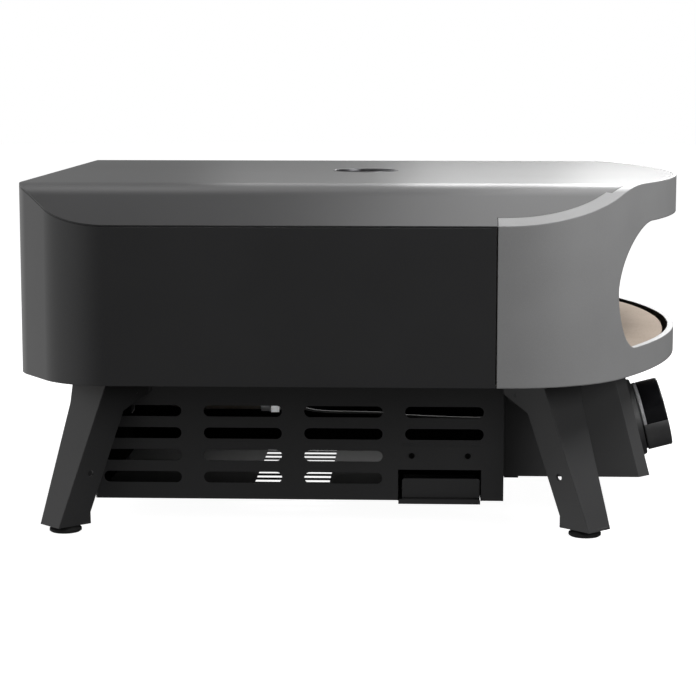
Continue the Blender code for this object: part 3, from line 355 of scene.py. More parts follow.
# painted light: lighter than the base's black coat, standing in for light on the control box in the shade under the
# mouth
M["box"] = powder_coat("control_box_coat", (0.061, 0.061, 0.062), 0.46)
M["drawer"] = powder_coat("drawer_coat", (0.038, 0.038, 0.039), 0.46, edge=0.0010)
M["holder"] = powder_coat("battery_holder_coat", (0.0015, 0.0015, 0.0015), 0.60, spec=0.08, wear=0.05)
M["leg"] = powder_coat("leg_coat_black", (0.041, 0.041, 0.042), 0.44, edge=0.0009)
M["steel"] = sheet_steel("stainless_sheet", (0.60, 0.59, 0.58), 0.30)
M["hot_steel"] = sheet_steel("heated_steel", (0.42, 0.40, 0.38), 0.42, tint=(0.30, 0.22, 0.16), bump=0.08)
M["zinc"] = sheet_steel("zinc_plate", (0.72, 0.73, 0.75), 0.28, lines=(60.0, 60.0, 60.0), scale=4.0, bump=0.03)
M["brass"] = sheet_steel("turned_brass", (0.78, 0.60, 0.30), 0.28, lines=(200.0, 20.0, 20.0), bump=0.04)
M["bright_zinc"] = moulded("zinc_plate_dull", (0.78, 0.78, 0.80), 0.42, bump=0.03)
M["chrome"] = sheet_steel("bright_plate", (0.82, 0.82, 0.83), 0.10, lines=(20.0, 20.0, 20.0), scale=6.0, bump=0.01)
# painted shade: the bezel is dark rather than bright plate, standing in for the shaded wall of the gauge recess
M["gauge_metal"] = sheet_steel("gauge_bezel_satin", (0.13, 0.13, 0.135), 0.34, lines=(20.0, 20.0, 20.0), scale=6.0, bump=0.01)
M["plastic"] = moulded("black_plastic_satin", (0.020, 0.020, 0.021), 0.38)
M["gloss"] = moulded("black_gloss", (0.004, 0.004, 0.005), 0.22, grain=300.0, bump=0.01, spec=0.35, coat=0.15)
M["lug"] = moulded("knob_lug_satin", (0.080, 0.080, 0.081), 0.42, bump=0.03)
M["ring"] = moulded("knob_ring_satin", (0.44, 0.44, 0.45), 0.34, grain=1800.0, bump=0.05, spec=0.8)
M["dish"] = moulded("knob_bezel_satin", (0.046, 0.046, 0.047), 0.40, bump=0.03)
M["rubber"] = moulded("foot_rubber", (0.014, 0.014, 0.014), 0.72, grain=1500.0, bump=0.18, spec=0.3)
M["ceramic"] = moulded("white_ceramic", (0.82, 0.80, 0.74), 0.32, grain=900.0, bump=0.05)
M["red"] = moulded("red_enamel", (0.60, 0.035, 0.025), 0.35)
M["lead"] = moulded("glass_sleeve_lead", (0.075, 0.075, 0.073), 0.55, bump=0.12)
M["dial"] = moulded("dial_grey", (0.035, 0.035, 0.036), 0.55, grain=1800.0, bump=0.04)
M["print"] = moulded("dial_print", (0.80, 0.80, 0.78), 0.5)


def stone_material():
    m, t, p, co = new_material("baking_stone")
    cloud = noise_tex(t, co, 12.0, 5.0, 0.6)
    grit = noise_tex(t, co, 420.0, 3.0, 0.65)
    col = mixed(t, ranged(t, cloud, 0.3, 0.7, 0.0, 1.0), (0.40, 0.328, 0.268), (0.47, 0.390, 0.325))
    col = mixed(t, ranged(t, grit, 0.55, 0.70, 0.0, 0.35), col, (0.60, 0.53, 0.44))
    col = mixed(t, ranged(t, noise_tex(t, co, 700.0, 1.0, 0.4), 0.68, 0.76, 0.0, 0.6), col, (0.16, 0.13, 0.10))
    t.links.new(col, p.inputs["Base Color"])
    p.inputs["Roughness"].default_value = 0.93
    p.inputs["Specular IOR Level"].default_value = 0.25
    t.links.new(bumped(t, grit, 0.35, 0.0004, rounded_normal(t, 0.0012)), p.inputs["Normal"])
    return m


def wool_material():
    m, t, p, co = new_material("fibre_blanket")
    f = noise_tex(t, co, 500.0, 6.0, 0.75, stretch=(1.0, 0.25, 1.0))
    t.links.new(mixed(t, f, (0.66, 0.65, 0.62), (0.90, 0.90, 0.87)), p.inputs["Base Color"])
    p.inputs["Roughness"].default_value = 1.0
    t.links.new(bumped(t, f, 0.8, 0.001), p.inputs["Normal"])
    return m


def cell_material():
    m, t, p, co = new_material("cell_wrap_blue")
    sep = t.nodes.new("ShaderNodeSeparateXYZ")
    t.links.new(co, sep.inputs[0])
    x0 = 0.3475 - SH
    band = calc(t, "GREATER_THAN", sep.outputs[0], x0 + 0.036)
    col = mixed(t, band, (0.05, 0.10, 0.22), (0.55, 0.42, 0.18))
    cap = calc(t, "GREATER_THAN", sep.outputs[0], x0 + 0.0488)
    col = mixed(t, cap, col, (0.7, 0.7, 0.7))
    col = mixed(t, ranged(t, noise_tex(t, co, 90.0), 0.4, 0.7, 0.0, 0.25), col, (0.7, 0.7, 0.72))
    t.links.new(col, p.inputs["Base Color"])
    p.inputs["Roughness"].default_value = 0.3
    p.inputs["Metallic"].default_value = 0.35
    return m


def glass_material():
    m, t, p, co = new_material("gauge_glass_clear")
    smear = noise_tex(t, co, 80.0, 3.0, 0.6)
    p.inputs["Base Color"].default_value = (0.96, 0.98, 0.98, 1)
    t.links.new(ranged(t, smear, 0.4, 0.7, 0.01, 0.06), p.inputs["Roughness"])
    p.inputs["Transmission Weight"].default_value = 1.0
    p.inputs["IOR"].default_value = 1.45
    p.inputs["Alpha"].default_value = 0.18
    p.inputs["Specular IOR Level"].default_value = 0.12
    return m


M["stone"] = stone_material()
M["wool"] = wool_material()
M["cell"] = cell_material()
M["glass"] = glass_material()

CAD_LOOK = {
    "roof_cover": "body", "outer_wall": "body", "front_panel": "front", "floor_pan": "hot_steel", "liner_wall": "hot_steel", "liner_crown": "hot_steel",
    "stone_rail_left": "hot_steel", "stone_rail_right": "hot_steel", "flame_baffle": "hot_steel", "burner_tube": "hot_steel", "valve_stem": "steel",
    "thermocouple": "steel", "gauge_spindle": "steel", "gauge_probe": "steel", "roof_insulation": "wool", "wall_insulation": "wool", "pizza_stone": "stone",
    "air_shutter": "bright_zinc", "jet_bracket": "bright_zinc", "gas_pipe": "zinc", "supply_pipe": "zinc", "battery_holder": "holder", "gas_jet": "brass", "gas_valve": "brass",
    "gas_inlet": "brass", "knob_bezel": "plastic", "igniter_module": "plastic", "knob_ring": "chrome", "gauge_case": "chrome", "knob_body": "gloss",
    "igniter_electrode": "ceramic", "ignition_lead": "lead", "gauge_dial": "dial", "gauge_glass": "glass", "gauge_pointer": "red", "base_frame": "base",
    "base_floor": "floor_coat", "control_box": "box", "battery_drawer": "drawer", "battery_cell_outer": "cell", "battery_cell_inner": "cell",
}
for nm, ob in NODES.items():
    look = CAD_LOOK.get(nm) or ("leg" if nm.startswith("leg_") and "bolt" not in nm else "rubber" if nm.startswith("foot_") else "zinc")
    ob.data.materials.clear()
    ob.data.materials.append(M[look])


# ---------------------------------------------------------------- shape helpers
def to_object(bm, name="work"):
    bmesh.ops.recalc_face_normals(bm, faces=bm.faces)
    me = bpy.data.meshes.new(name)
    bm.to_mesh(me)
    bm.free()
    o = bpy.data.objects.new(name, me)
    SCN.collection.objects.link(o)
    return o


def prism(points, lo, hi, axis="Z"):
    def at(p, h):
        return {"Z": (p[0], p[1], h), "Y": (p[0], h, p[1]), "X": (h, p[0], p[1])}[axis]
    bm = bmesh.new()
    low = [bm.verts.new(at(p, lo)) for p in points]
    high = [bm.verts.new(at(p, hi)) for p in points]
    bm.faces.new(low)
    bm.faces.new(high[::-1])
    n = len(points)
    for i in range(n):
        bm.faces.new((low[i], high[i], high[(i + 1) % n], low[(i + 1) % n]))
    return to_object(bm)


def loft(low, high):
    bm = bmesh.new()
    a = [bm.verts.new(p) for p in low]
    b = [bm.verts.new(p) for p in high]
    bm.faces.new(a)
    bm.faces.new(b[::-1])
    n = len(a)
    for i in range(n):
        bm.faces.new((a[i], b[i], b[(i + 1) % n], a[(i + 1) % n]))
    return to_object(bm)


def box(x0, x1, y0, y1, z0, z1):
    return prism([(x0, y0), (x1, y0), (x1, y1), (x0, y1)], z0, z1)


def frame_of(direction):
    d = Vector(direction).normalized()
    side = Vector((0, 1, 0)) if abs(d.y) < 0.9 else Vector((1, 0, 0))
    u = side.cross(d).normalized()
    return d, u, d.cross(u)


def turned(profile, centre, direction, segments=64):
    d, u, v = frame_of(direction)
    c = Vector(centre)
    bm = bmesh.new()
    rings = []
    for a, r in profile:
        if r < 1e-7:
            rings.append([bm.verts.new(c + d * a)])
        else:
            rings.append([bm.verts.new(c + d * a + (u * math.cos(t) + v * math.sin(t)) * r) for t in (2 * math.pi * k / segments for k in range(segments))])
    closed = profile[0][1] > 1e-7 and profile[-1][1] > 1e-7
    for a, b in list(zip(rings, rings[1:])) + ([(rings[-1], rings[0])] if closed else []):
        for k in range(segments):
            j = (k + 1) % segments
            if len(a) == 1 and len(b) == 1:
                continue
            if len(a) == 1:
                bm.faces.new((a[0], b[k], b[j]))
            elif len(b) == 1:
                bm.faces.new((a[k], a[j], b[0]))
            else:
                bm.faces.new((a[k], a[j], b[j], b[k]))
    return to_object(bm)


def rod(p0, p1, r, segments=32):
    d = Vector(p1) - Vector(p0)
    return turned([(0, 0), (0, r), (d.length, r), (d.length, 0)], p0, d, segments)


def combine(target, tool, operation):
    mod = target.modifiers.new("shape", "BOOLEAN")
    mod.operation, mod.solver, mod.object = operation, "EXACT", tool
    bpy.context.view_layer.update()
    me = bpy.data.meshes.new_from_object(target.evaluated_get(bpy.context.evaluated_depsgraph_get()))
    target.modifiers.clear()
    old = target.data
    target.data = me
    bpy.data.meshes.remove(old)
    bpy.data.objects.remove(tool, do_unlink=True)
    return target


def minus(target, *tools):
    for x in tools:
        combine(target, x, "DIFFERENCE")
    return target


def plus(target, *tools):
    for x in tools:
        combine(target, x, "UNION")
    return target


def within(target, tool):
    return combine(target, tool, "INTERSECT")


def shifted(o):
    o.data.transform(Matrix.Translation((-SH, 0, 0)))
    return o


def show(o, name, look, body="oven", stands_for=(), smooth=30, bevel=None, shift=True):
    """Moves a piece from the wall-based axes to the row frame, shades it, and hands it to a body."""
    if shift:
        shifted(o)
    o.name = name
    o.data.name = name
    o.data.materials.clear()
    o.data.materials.append(M[look])
    if bevel:
        b = o.modifiers.new("edge", "BEVEL")
        b.width, b.segments, b.limit_method, b.angle_limit = bevel, 2, "ANGLE", math.radians(40)
        b.use_clamp_overlap = True
    if smooth:
        o.data.shade_smooth()
        o.data.set_sharp_from_angle(angle=math.radians(smooth))
        w = o.modifiers.new("flat", "WEIGHTED_NORMAL")
        w.keep_sharp = True
        w.weight = 80
    if stands_for:
        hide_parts(*stands_for)
    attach(o, body)
    return o


# ---------------------------------------------------------------- body outlines, finer than the model's
FRONT_C = BODY_L - FRONT_R
FRONT_A = math.asin((BODY_HALF_W - CORNER_R) / (FRONT_R - CORNER_R))
CORNER_C = (FRONT_C + (FRONT_R - CORNER_R) * math.cos(FRONT_A), BODY_HALF_W - CORNER_R)
FACET_N = math.pi - math.atan2(FACET_X, BODY_HALF_W - BACK_FLAT_Y)
SIDE_C = (FACET_X + SIDE_R * math.tan((FACET_N - math.pi / 2) / 2), BODY_HALF_W - SIDE_R)
BACK_C = (BACK_R, BACK_FLAT_Y - BACK_R * math.tan((math.pi - FACET_N) / 2))
SLOPE = (ROOF_Z - WALL_TOP_Z) / (BODY_HALF_W - CHAMFER_Y)
SLOPE_A = math.atan(SLOPE)


def arc(c, r, a0, a1, n):
    return [(c[0] + r * math.cos(a0 + (a1 - a0) * k / n), c[1] + r * math.sin(a0 + (a1 - a0) * k / n)) for k in range(n + 1)]


def half_plan(off, fine=1.0):
    pts = arc((FRONT_C, 0.0), FRONT_R - off, 0.0, FRONT_A, int(44 * fine))
    pts += arc(CORNER_C, CORNER_R - off, FRONT_A, math.pi / 2, int(30 * fine))[1:]
    pts += arc(SIDE_C, SIDE_R - off, math.pi / 2, FACET_N, int(16 * fine))
    pts += arc(BACK_C, BACK_R - off, FACET_N, math.pi, int(12 * fine))
    return pts


def full_plan(off, fine=1.0):
    h = half_plan(off, fine)
    return [(x, -y) for x, y in h[:0:-1]] + h


def clip_x(points, lo=None, hi=None):
    for limit, keep_low in ((lo, False), (hi, True)):
        if limit is None:
            continue
        out = []
        n = len(points)
        for i in range(n):
            a, b = points[i], points[(i + 1) % n]
            ia = a[0] <= limit if keep_low else a[0] >= limit
            ib = b[0] <= limit if keep_low else b[0] >= limit
            if ia:
                out.append(a)
            if ia != ib:
                s = (limit - a[0]) / (b[0] - a[0])
                out.append((limit, a[1] + s * (b[1] - a[1])))
        points = out
    return points


def plan_prism(off, z0, z1, lo=None, hi=None, fine=1.0):
    return prism(clip_x(full_plan(off, fine), lo, hi), z0, z1)


def roof_line(off, reach=0.36, n=18):
    yc = CHAMFER_Y - BEND_R * math.tan(SLOPE_A / 2)
    r = BEND_R - off
    side = [(yc + r * math.sin(SLOPE_A * k / n), ROOF_Z - BEND_R + r * math.cos(SLOPE_A * k / n)) for k in range(n + 1)]
    last = side[-1]
    side.append((reach, last[1] - (reach - last[0]) * SLOPE))
    return [(-y, z) for y, z in side[::-1]] + side


def under_roof(off, z0, x0=-0.05, x1=0.70):
    line = roof_line(off)
    return prism([(line[0][0], z0)] + line + [(line[-1][0], z0)], x0, x1, "X")


def roof_sheet(off0, off1, x0=-0.05, x1=0.70):
    return prism(roof_line(off0) + roof_line(off1)[::-1], x0, x1, "X")


def sheet_y(s):
    if s < FRONT_R * FRONT_A:
        return FRONT_R * math.sin(s / FRONT_R)
    return CORNER_C[1] + CORNER_R * math.sin(FRONT_A + (s - FRONT_R * FRONT_A) / CORNER_R)


def mouth_outline(grow=0.0, n=28):
    wide, top, low = MOUTH_S + grow, MOUTH_TOP_Z + grow, LIP_Z - grow
    pts = []
    a, b, p = 0.072, top - MOUTH_WIDE_Z, 1.75
    for k in range(n + 1):
        s = math.pi / 2 * k / n
        pts.append((sheet_y(wide - a + a * math.sin(s) ** (2 / p)), MOUTH_WIDE_Z + b * math.cos(s) ** (2 / p)))
    a, b = 0.0372 + grow, MOUTH_WIDE_Z - low
    for k in range(1, n + 1):
        s = math.pi / 2 * k / n
        pts.append((sheet_y(wide - a + a * math.cos(s)), MOUTH_WIDE_Z - b * math.sin(s)))
    return [(-y, z) for y, z in pts[::-1]] + pts


# ---------------------------------------------------------------- casing
def rim_width(y):
    """Width of the front panel's top flange: full on the slope, stepped back at the bend, a narrow rim on the flat."""
    return STRIP_W if y > 0.2580 else 0.0095 if y > 0.235 else 0.0035 + max(0.0, (y - 0.205) / 0.030) * 0.0060


def rim_plan(more=0.0):
    pts = []
    for k in range(89):
        a = FRONT_A * k / 88
        r = FRONT_R - rim_width(FRONT_R * math.sin(a)) - more
        pts.append((FRONT_C + r * math.cos(a), r * math.sin(a)))
    for k in range(1, 121):
        a = FRONT_A + (math.pi / 2 - FRONT_A) * k / 120
        r = CORNER_R - rim_width(CORNER_C[1] + CORNER_R * math.sin(a)) - more
        pts.append((CORNER_C[0] + r * math.cos(a), CORNER_C[1] + r * math.sin(a)))
    return pts


inner_half = [p for p in rim_plan(0.00025) if p[0] > SEAM_X] + [(SEAM_X, BODY_HALF_W - STRIP_W - 0.0005)]
outer_half = [(SEAM_X, BODY_HALF_W - 0.0001)] + [p for p in half_plan(0.0001) if p[0] < SEAM_X]
h = inner_half + outer_half
roof = roof_sheet(0.0, SHEET)
within(roof, prism([(x, -y) for x, y in h[:0:-1]] + h, 0.2, 0.4))
minus(roof, rod((GAUGE_X, 0, 0.25), (GAUGE_X, 0, 0.35), GAUGE_R, 96))
show(roof, "roof_skin", "body", stands_for=("roof_cover",))


def back_band(off0, off1, hi):
    ha = [p for p in half_plan(off0) if p[0] < hi]
    hb = [p for p in half_plan(off1) if p[0] < hi]
    ya, yb = BODY_HALF_W - off0, BODY_HALF_W - off1
    outer = [(hi, ya)] + ha + [(x, -y) for x, y in ha[::-1]] + [(hi, -ya)]
    inner = [(hi, yb)] + hb + [(x, -y) for x, y in hb[::-1]] + [(hi, -yb)]
    return outer + inner[::-1]


wall = prism(back_band(0.0, SHEET, SEAM_X - 0.0008), BODY_Z0, 0.33)
within(wall, under_roof(SHEET + GAP, 0.1))
show(wall, "wall_skin", "body", stands_for=("outer_wall",))

PANEL_T = 0.0014
panel = prism(clip_x(full_plan(0.0), lo=SEAM_X + 0.0004), BODY_Z0, 0.33)
within(panel, under_roof(0.0, 0.1))
minus(panel, plan_prism(STRIP_W, 0.1, 0.35, lo=SEAM_X - 0.02))
rim = [p for p in rim_plan() if p[1] < 0.270]
rim.append((rim[-1][0] - 0.05, rim[-1][1]))
minus(panel, prism([(x, -y) for x, y in rim[:0:-1]] + rim, 0.285, 0.35))
hollow = plan_prism(LIP_T, BODY_Z0 + PANEL_T, 0.33, lo=SEAM_X - 0.02)
within(hollow, under_roof(SHEET, 0.1))
minus(panel, hollow)
recess = plan_prism(PANEL_T, BODY_Z0 + PANEL_T, 0.33, lo=SEAM_X - 0.02)
within(recess, under_roof(SHEET, 0.1))
minus(recess, prism(mouth_outline(PANEL_T), 0.45, 0.65, "X"))
minus(panel, recess)
minus(panel, plan_prism(0.009, 0.12, BODY_Z0 + 0.004, lo=SEAM_X - 0.02))
minus(panel, prism(mouth_outline(0.0), 0.45, 0.65, "X"))
show(panel, "front_skin", "front", stands_for=("front_panel",))

# baking stone
sh = [p for p in half_plan(0.0112) if p[1] < 0.2825 and p[0] > SEAM_X]
sh = [(x + 0.0026 * min(1.0, max(0.0, (y - 0.04) / 0.10)) * (1.0 if y < 0.20 else max(0.0, (0.25 - y) / 0.05)), y) for x, y in sh]
sd = [(0.470, 0.2825), (0.128, 0.2825), (0.125, 0.2795)]
stone = prism([(x, -y) for x, y in (sh + sd)[:0:-1]] + sh + sd, STONE_TOP_Z - STONE_T, STONE_TOP_Z)
show(stone, "stone_slab", "stone", stands_for=("pizza_stone",), bevel=0.0011)

# ---------------------------------------------------------------- control knob
FASCIA_X0, FASCIA_LEAN, BOX_Z0, BOX_HALF_W, KNOB_Z = 0.563348, 0.261, 0.0384, 0.190, 0.0590
BASE_X0, BASE_X1, BASE_HALF_W, BASE_Z0 = 0.0636, 0.4294, 0.2205, 0.0217
N = Vector((1.0, 0.0, FASCIA_LEAN)).normalized()
K0 = Vector((FASCIA_X0 - (KNOB_Z - BOX_Z0) * FASCIA_LEAN, 0.0, KNOB_Z))
UPD = Vector((-N.z, 0, N.x))


def fillet(profile, radii, n=5):
    """Rounds the corners of an open profile; radii[i] belongs to point i."""
    out = []
    for i, p in enumerate(profile):
        r = radii.get(i, 0.0)
        if r <= 0 or i in (0, len(profile) - 1):
            out.append(p)
            continue
        a, b, c = (Vector(q) for q in (profile[i - 1], p, profile[i + 1]))
        u, v = (a - b).normalized(), (c - b).normalized()
        r = min(r, 0.48 * (a - b).length, 0.48 * (c - b).length)
        p0, p1 = b + u * r, b + v * r
        for k in range(n + 1):
            s = k / n
            q = p0.lerp(b, s).lerp(b.lerp(p1, s), s)
            out.append((q.x, q.y))
    return out


bez = fillet([(0.0004, 0.0125), (0.0004, 0.0352), (0.0022, 0.0386), (0.0062, 0.0396), (0.0128, 0.0377), (0.0128, 0.0363), (0.0066, 0.0361), (0.0066, 0.0125)],
             {1: 0.0008, 2: 0.002, 3: 0.0012, 4: 0.0005, 5: 0.0004, 6: 0.0008})
show(turned(bez, K0, N, 128), "bezel_dish", "dish", stands_for=("knob_bezel",), smooth=40)

skirt = rod(K0 + N * 0.0104, K0 + N * 0.0145, 0.0331, 96)
minus(skirt, rod(K0 + N * 0.0094, K0 + N * 0.0155, 0.0230, 96))
show(skirt, "knob_skirt", "dish", body="knob_turn", smooth=40)
teeth = 110
RING_A = 0.0146
ring_profile = [(RING_A, 0.0224), (RING_A, 0.0327), (RING_A + 0.0003, 0.03325), (RING_A + 0.0009, 0.0334), (RING_A + 0.0016, 0.0334), (RING_A + 0.0024, 0.0334), (RING_A + 0.0030, 0.03325), (RING_A + 0.0033, 0.0327), (RING_A + 0.0033, 0.0224)]
ring = turned(ring_profile, K0, N, teeth * 2)
d_, u_, v_ = frame_of(N)
for vert in ring.data.vertices:
    rel = vert.co - K0
    a = rel.dot(d_)
    radial = rel - d_ * a
    if radial.length > 0.0333:
        k = int(round(math.atan2(radial.dot(v_), radial.dot(u_)) / (math.pi / teeth)))
        row = int(round((a - RING_A - 0.0009) / 0.00075))
        if (k + row) % 2:
            vert.co = K0 + d_ * a + radial.normalized() * (radial.length - 0.00030)
show(ring, "ring_knurled", "ring", body="knob_turn", stands_for=("knob_ring",), smooth=0)

body_profile = fillet([(0.0340, 0.0), (0.0340, 0.0044), (0.0172, 0.0044), (0.0172, 0.0216), (0.0181, 0.0219), (0.0181, 0.0333), (0.0390, 0.0331), (0.0390, 0.0236), (0.0384, 0.0230),
                       (0.0384, 0.0)], {5: 0.0010, 6: 0.0014, 7: 0.0004, 8: 0.0004})
knob = turned(body_profile, K0, N, 128)
LUG_A0, LUG_A1, LUG_R = math.radians(6.5), math.radians(71), 0.0354


def lug_section(a, inset=0.0):
    n = 18
    r = LUG_R - inset
    rim = []
    for k in range(n + 1):
        s = k / n
        fall = 0.0009 * max(0.0, 1 - min(s, 1 - s) * n / 2.0) ** 2
        rim.append((r - fall, LUG_A0 + (LUG_A1 - LUG_A0) * s))
    line = [(0.0185, LUG_A0 + 0.35)] + rim + [(0.0185, LUG_A1 - 0.35)]
    return [K0 + N * a + (Vector((0, -1, 0)) * math.cos(t) - UPD * math.sin(t)) * q for q, t in line]


lug = loft(lug_section(0.0148), lug_section(0.0384))
cap = loft(lug_section(0.0380), lug_section(0.0389, 0.0009))
plus(lug, cap)
minus(lug, turned([(0.0100, 0.0), (0.0100, 0.0338), (0.0420, 0.0333), (0.0420, 0.0)], K0, N, 128))
# pointer groove across the face towards the lug
mid = (LUG_A0 + LUG_A1) / 2
pd = Vector((0, -1, 0)) * math.cos(mid) - UPD * math.sin(mid)
ps = N.cross(pd).normalized()
g = [K0 + pd * r + ps * w for r, w in ((0.0265, -0.0007), (0.0340, -0.0007), (0.0340, 0.0007), (0.0265, 0.0007))]
minus(knob, loft([p + N * 0.0386 for p in g], [p + N * 0.0410 for p in g]))
show(knob, "knob_cap", "gloss", body="knob_turn", stands_for=("knob_body",), smooth=30)
show(lug, "knob_lug", "lug", body="knob_turn", smooth=30)
g = [K0 + pd * r + ps * w for r, w in ((0.0267, -0.0006), (0.0338, -0.0006), (0.0338, 0.0006), (0.0267, 0.0006))]
show(loft([p + N * 0.0382 for p in g], [p + N * 0.03885 for p in g]), "knob_pointer_line", "print", body="knob_turn", smooth=0)

# ---------------------------------------------------------------- roof gauge
GC = Vector((GAUGE_X, 0, ROOF_Z))
case = fillet([(-0.0170, 0.0), (-0.0170, 0.0315), (0.0006, 0.0315), (0.0006, 0.0300), (-0.0012, 0.0296), (-0.0040, 0.0296), (-0.0158, 0.0290), (-0.0158, 0.0)],
              {1: 0.001, 2: 0.0005, 3: 0.0005, 4: 0.0005, 5: 0.0005, 6: 0.0005})
case = turned(case, GC, (0, 0, 1), 128)
minus(case, rod((GAUGE_X, 0, ROOF_Z - 0.02), (GAUGE_X, 0, ROOF_Z - 0.01), 0.0034, 32))
show(case, "gauge_bezel", "gauge_metal", stands_for=("gauge_case",), smooth=35)
face = turned([(-0.0072, 0.0016), (-0.0072, 0.0286), (-0.0060, 0.0286), (-0.0060, 0.0016)], GC, (0, 0, 1), 128)
show(face, "gauge_plate", "dial", stands_for=("gauge_dial",), smooth=35)


def dial_at(deg):
    """Direction of a scale mark; 0 is the pointer's rest, turning clockwise from above."""
    a = -math.radians(deg)
    return Vector((math.cos(a), math.sin(a), 0))


bm = bmesh.new()
for k in range(0, 55):
    deg = k * 5.0
    major = k % 9 == 0
    d = dial_at(deg)
    s = Vector((-d.y, d.x, 0))
    r0, r1, w = (0.0222, 0.0262, 0.00032) if major else (0.0240, 0.0262, 0.00015)
    quad = [GC + d * r + s * t + Vector((0, 0, z)) for z in (-0.00605, -0.00593) for r, t in ((r0, -w), (r1, -w), (r1, w), (r0, w))]
    vs = [bm.verts.new(q) for q in quad]
    for f in ((0, 1, 2, 3), (7, 6, 5, 4), (0, 4, 5, 1), (1, 5, 6, 2), (2, 6, 7, 3), (3, 7, 4, 0)):
        bm.faces.new([vs[i] for i in f])
show(to_object(bm), "gauge_scale_marks", "print", smooth=0)
for k in range(7):
    cu = bpy.data.curves.new("numeral", "FONT")
    cu.body = str(k * 80)
    cu.size = 0.0048
    cu.extrude = 0.00005
    cu.align_x = cu.align_y = "CENTER"
    o = bpy.data.objects.new("numeral", cu)
    SCN.collection.objects.link(o)
    d = dial_at(k * 45.0)
    o.location = GC + d * 0.0186 + Vector((0, 0, -0.00594))
    o.rotation_euler = (0, 0, math.radians(90))
    bpy.context.view_layer.update()
    me = bpy.data.meshes.new_from_object(o.evaluated_get(bpy.context.evaluated_depsgraph_get()))
    me.transform(o.matrix_world)
    bpy.data.objects.remove(o, do_unlink=True)
    q = bpy.data.objects.new("numeral", me)
    SCN.collection.objects.link(q)
    show(q, f"gauge_number_{k}", "print", smooth=0)

# ---------------------------------------------------------------- base
def slot_solid(x0, z0, length, height, lo, hi, axis="Y", n=14):
    r = height / 2
    pts = arc((x0 + length - r, z0), r, -math.pi / 2, math.pi / 2, n) + arc((x0 + r, z0), r, math.pi / 2, 3 * math.pi / 2, n)
    return prism(pts, lo, hi, axis)


LEG_PIVOT, LEG_MID_X, LEG_TOP_Z = (0.1005, 0.2218, 0.1195), 0.2710, 0.1305
SCREWS, SCREW_Z, NOTCH = (0.3475, 0.3975), 0.0623, (0.3353, 0.4095, 0.0495)
lipz = BODY_Z0 - GAP
ya, yb = BASE_HALF_W, BASE_HALF_W - SHEET
rb = 0.0020


def base_plan(w, r, x0):
    pts = [(BASE_X1, w)] + [(x0 + r - r * math.sin(t), w - r + r * math.cos(t)) for t in (math.pi / 2 * k / 6 for k in range(7))]
    return pts + [(x, -y) for x, y in pts[::-1]]


base = prism(base_plan(ya, rb, BASE_X0) + base_plan(yb, rb - SHEET, BASE_X0 + SHEET)[::-1], BASE_Z0, lipz)
fx, fz = 2 * LEG_MID_X - LEG_PIVOT[0], LEG_PIVOT[2]
ear_line = [(0.4150, 0.1250), (0.4294, 0.1185), (0.4344, 0.1124)] + arc((fx, fz), 0.0100, math.radians(-115), 0.0, 20) + [(fx + 0.010, lipz), (0.4150, lipz)]
for s in (-1, 1):
    plus(base, prism(ear_line, min(s * ya, s * yb), max(s * ya, s * yb), "Y"))
for s in (-1, 1):
    plus(base, box(BASE_X0 + 0.002, BASE_X1, min(s * (ya - 0.0006), s * (ya - 0.013)), max(s * (ya - 0.0006), s * (ya - 0.013)), lipz - SHEET, lipz - 0.00001))
for col in range(4):
    for row in range(4):
        both = not (col == 3 and row < 2)
        minus(base, slot_solid(0.0715 + col * 0.090, 0.0415 + row * 0.020, 0.070, 0.010, -0.24 if both else 0.18, 0.24))
minus(base, box(NOTCH[0], NOTCH[1], -0.24, -0.20, 0.0, NOTCH[2]))
plus(base, box(0.3388, 0.4091, -ya - 0.00035, -ya + 0.0004, 0.0712, 0.0731))
for x in SCREWS:
    minus(base, rod((x, -0.24, SCREW_Z), (x, -0.20, SCREW_Z), 0.0017, 20))
for s in (-1, 1):
    plus(base, box(BASE_X0 - 0.0085, BASE_X0 + 0.0004, min(s * (ya - 0.0002), s * (ya - 0.0014)), max(s * (ya - 0.0002), s * (ya - 0.0014)), BASE_Z0 + 0.004, 0.0700))
for x in (LEG_PIVOT[0], fx):
    for s in (-1, 1):
        minus(base, rod((x, s * 0.20, fz), (x, s * 0.24, fz), 0.0034, 20))
minus(base, rod((0.05, 0.130, 0.075), (0.08, 0.130, 0.075), 0.0064, 32))
minus(base, slot_solid(0.001, 0.0652, 0.0300, 0.0100, 0.05, 0.08, "X"))
show(base, "base_shell", "base", stands_for=("base_frame",), smooth=30)

# hem of the battery holder, closing the gap above the base floor
hem = box(0.3350, 0.4100, -0.1587, -0.1575, 0.0196, 0.0262)
plus(hem, box(0.3347, 0.3358, -0.2188, -0.1576, 0.0212, 0.0262), box(0.4091, 0.4102, -0.2188, -0.1576, 0.0212, 0.0262))
show(hem, "battery_holder_hem", "holder", smooth=0)

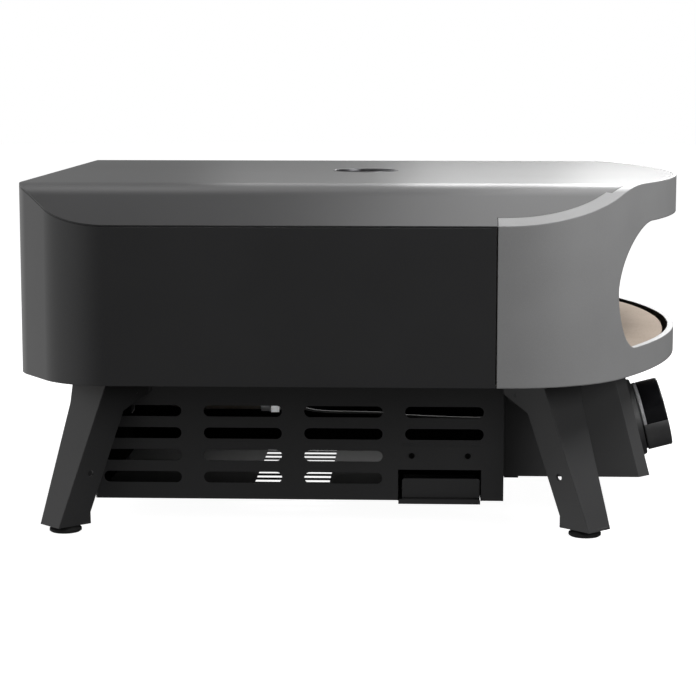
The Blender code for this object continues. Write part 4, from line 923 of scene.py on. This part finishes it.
# battery drawer: bottom plate, face set back behind a turned-up lip
tray = box(0.3357, 0.4087, -0.2245, -0.1600, 0.0192, 0.0204)
face_x0, face_x1, r = 0.3389, 0.4084, 0.0026
face_line = [(face_x0, 0.0238)] + [(face_x0 + r - r * math.cos(a), 0.0413 - r + r * math.sin(a)) for a in (math.pi / 2 * k / 6 for k in range(7))]
face_line += [(face_x1 - r + r * math.sin(a), 0.0413 - r + r * math.cos(a)) for a in (math.pi / 2 * k / 6 for k in range(7))] + [(face_x1, 0.0238)]
plus(tray, prism(face_line, -0.2188, -0.2176, "Y"))
lip_r = 0.0010
lip_line = [(0.3357, 0.0192), (0.3357, 0.0236 - lip_r), (0.3357 + lip_r, 0.0236), (0.4087 - lip_r, 0.0236), (0.4087, 0.0236 - lip_r), (0.4087, 0.0192)]
plus(tray, prism(lip_line, -0.2245, -0.2233, "Y"))
plus(tray, box(face_x0 + 0.0006, face_x1 - 0.0006, -0.2178, -0.2172, 0.0200, 0.0262))
for a0, a1 in ((face_x0 + 0.0004, face_x0 + 0.0016), (0.4053, 0.4065)):
    plus(tray, box(a0, a1, -0.2185, -0.1630, 0.0200, 0.0340))
plus(tray, box(face_x0 + 0.0004, 0.4065, -0.1640, -0.1628, 0.0200, 0.0340))
show(tray, "battery_tray_shell", "drawer", body="battery_tray", stands_for=("battery_drawer",), smooth=30)

# battery screws with a cross recess
for nm, x in (("battery_screw_rear", SCREWS[0]), ("battery_screw_front", SCREWS[1])):
    head = turned(fillet([(-0.0060, 0.0), (-0.0060, 0.0014), (0.0003, 0.0014), (0.0003, 0.0026), (0.0010, 0.0025), (0.0016, 0.0014), (0.0017, 0.0)],
                         {3: 0.0003, 4: 0.0006, 5: 0.0006}), (x, -BASE_HALF_W, SCREW_Z), (0, -1, 0), 48)
    for a, b in ((0.0013, 0.00028), (0.00028, 0.0013)):
        minus(head, box(x - a, x + a, -BASE_HALF_W - 0.0030, -BASE_HALF_W - 0.0008, SCREW_Z - b, SCREW_Z + b))
    show(head, nm + "_head", "holder", stands_for=(nm,), smooth=35)


# ---------------------------------------------------------------- final scene update
bpy.context.view_layer.update()
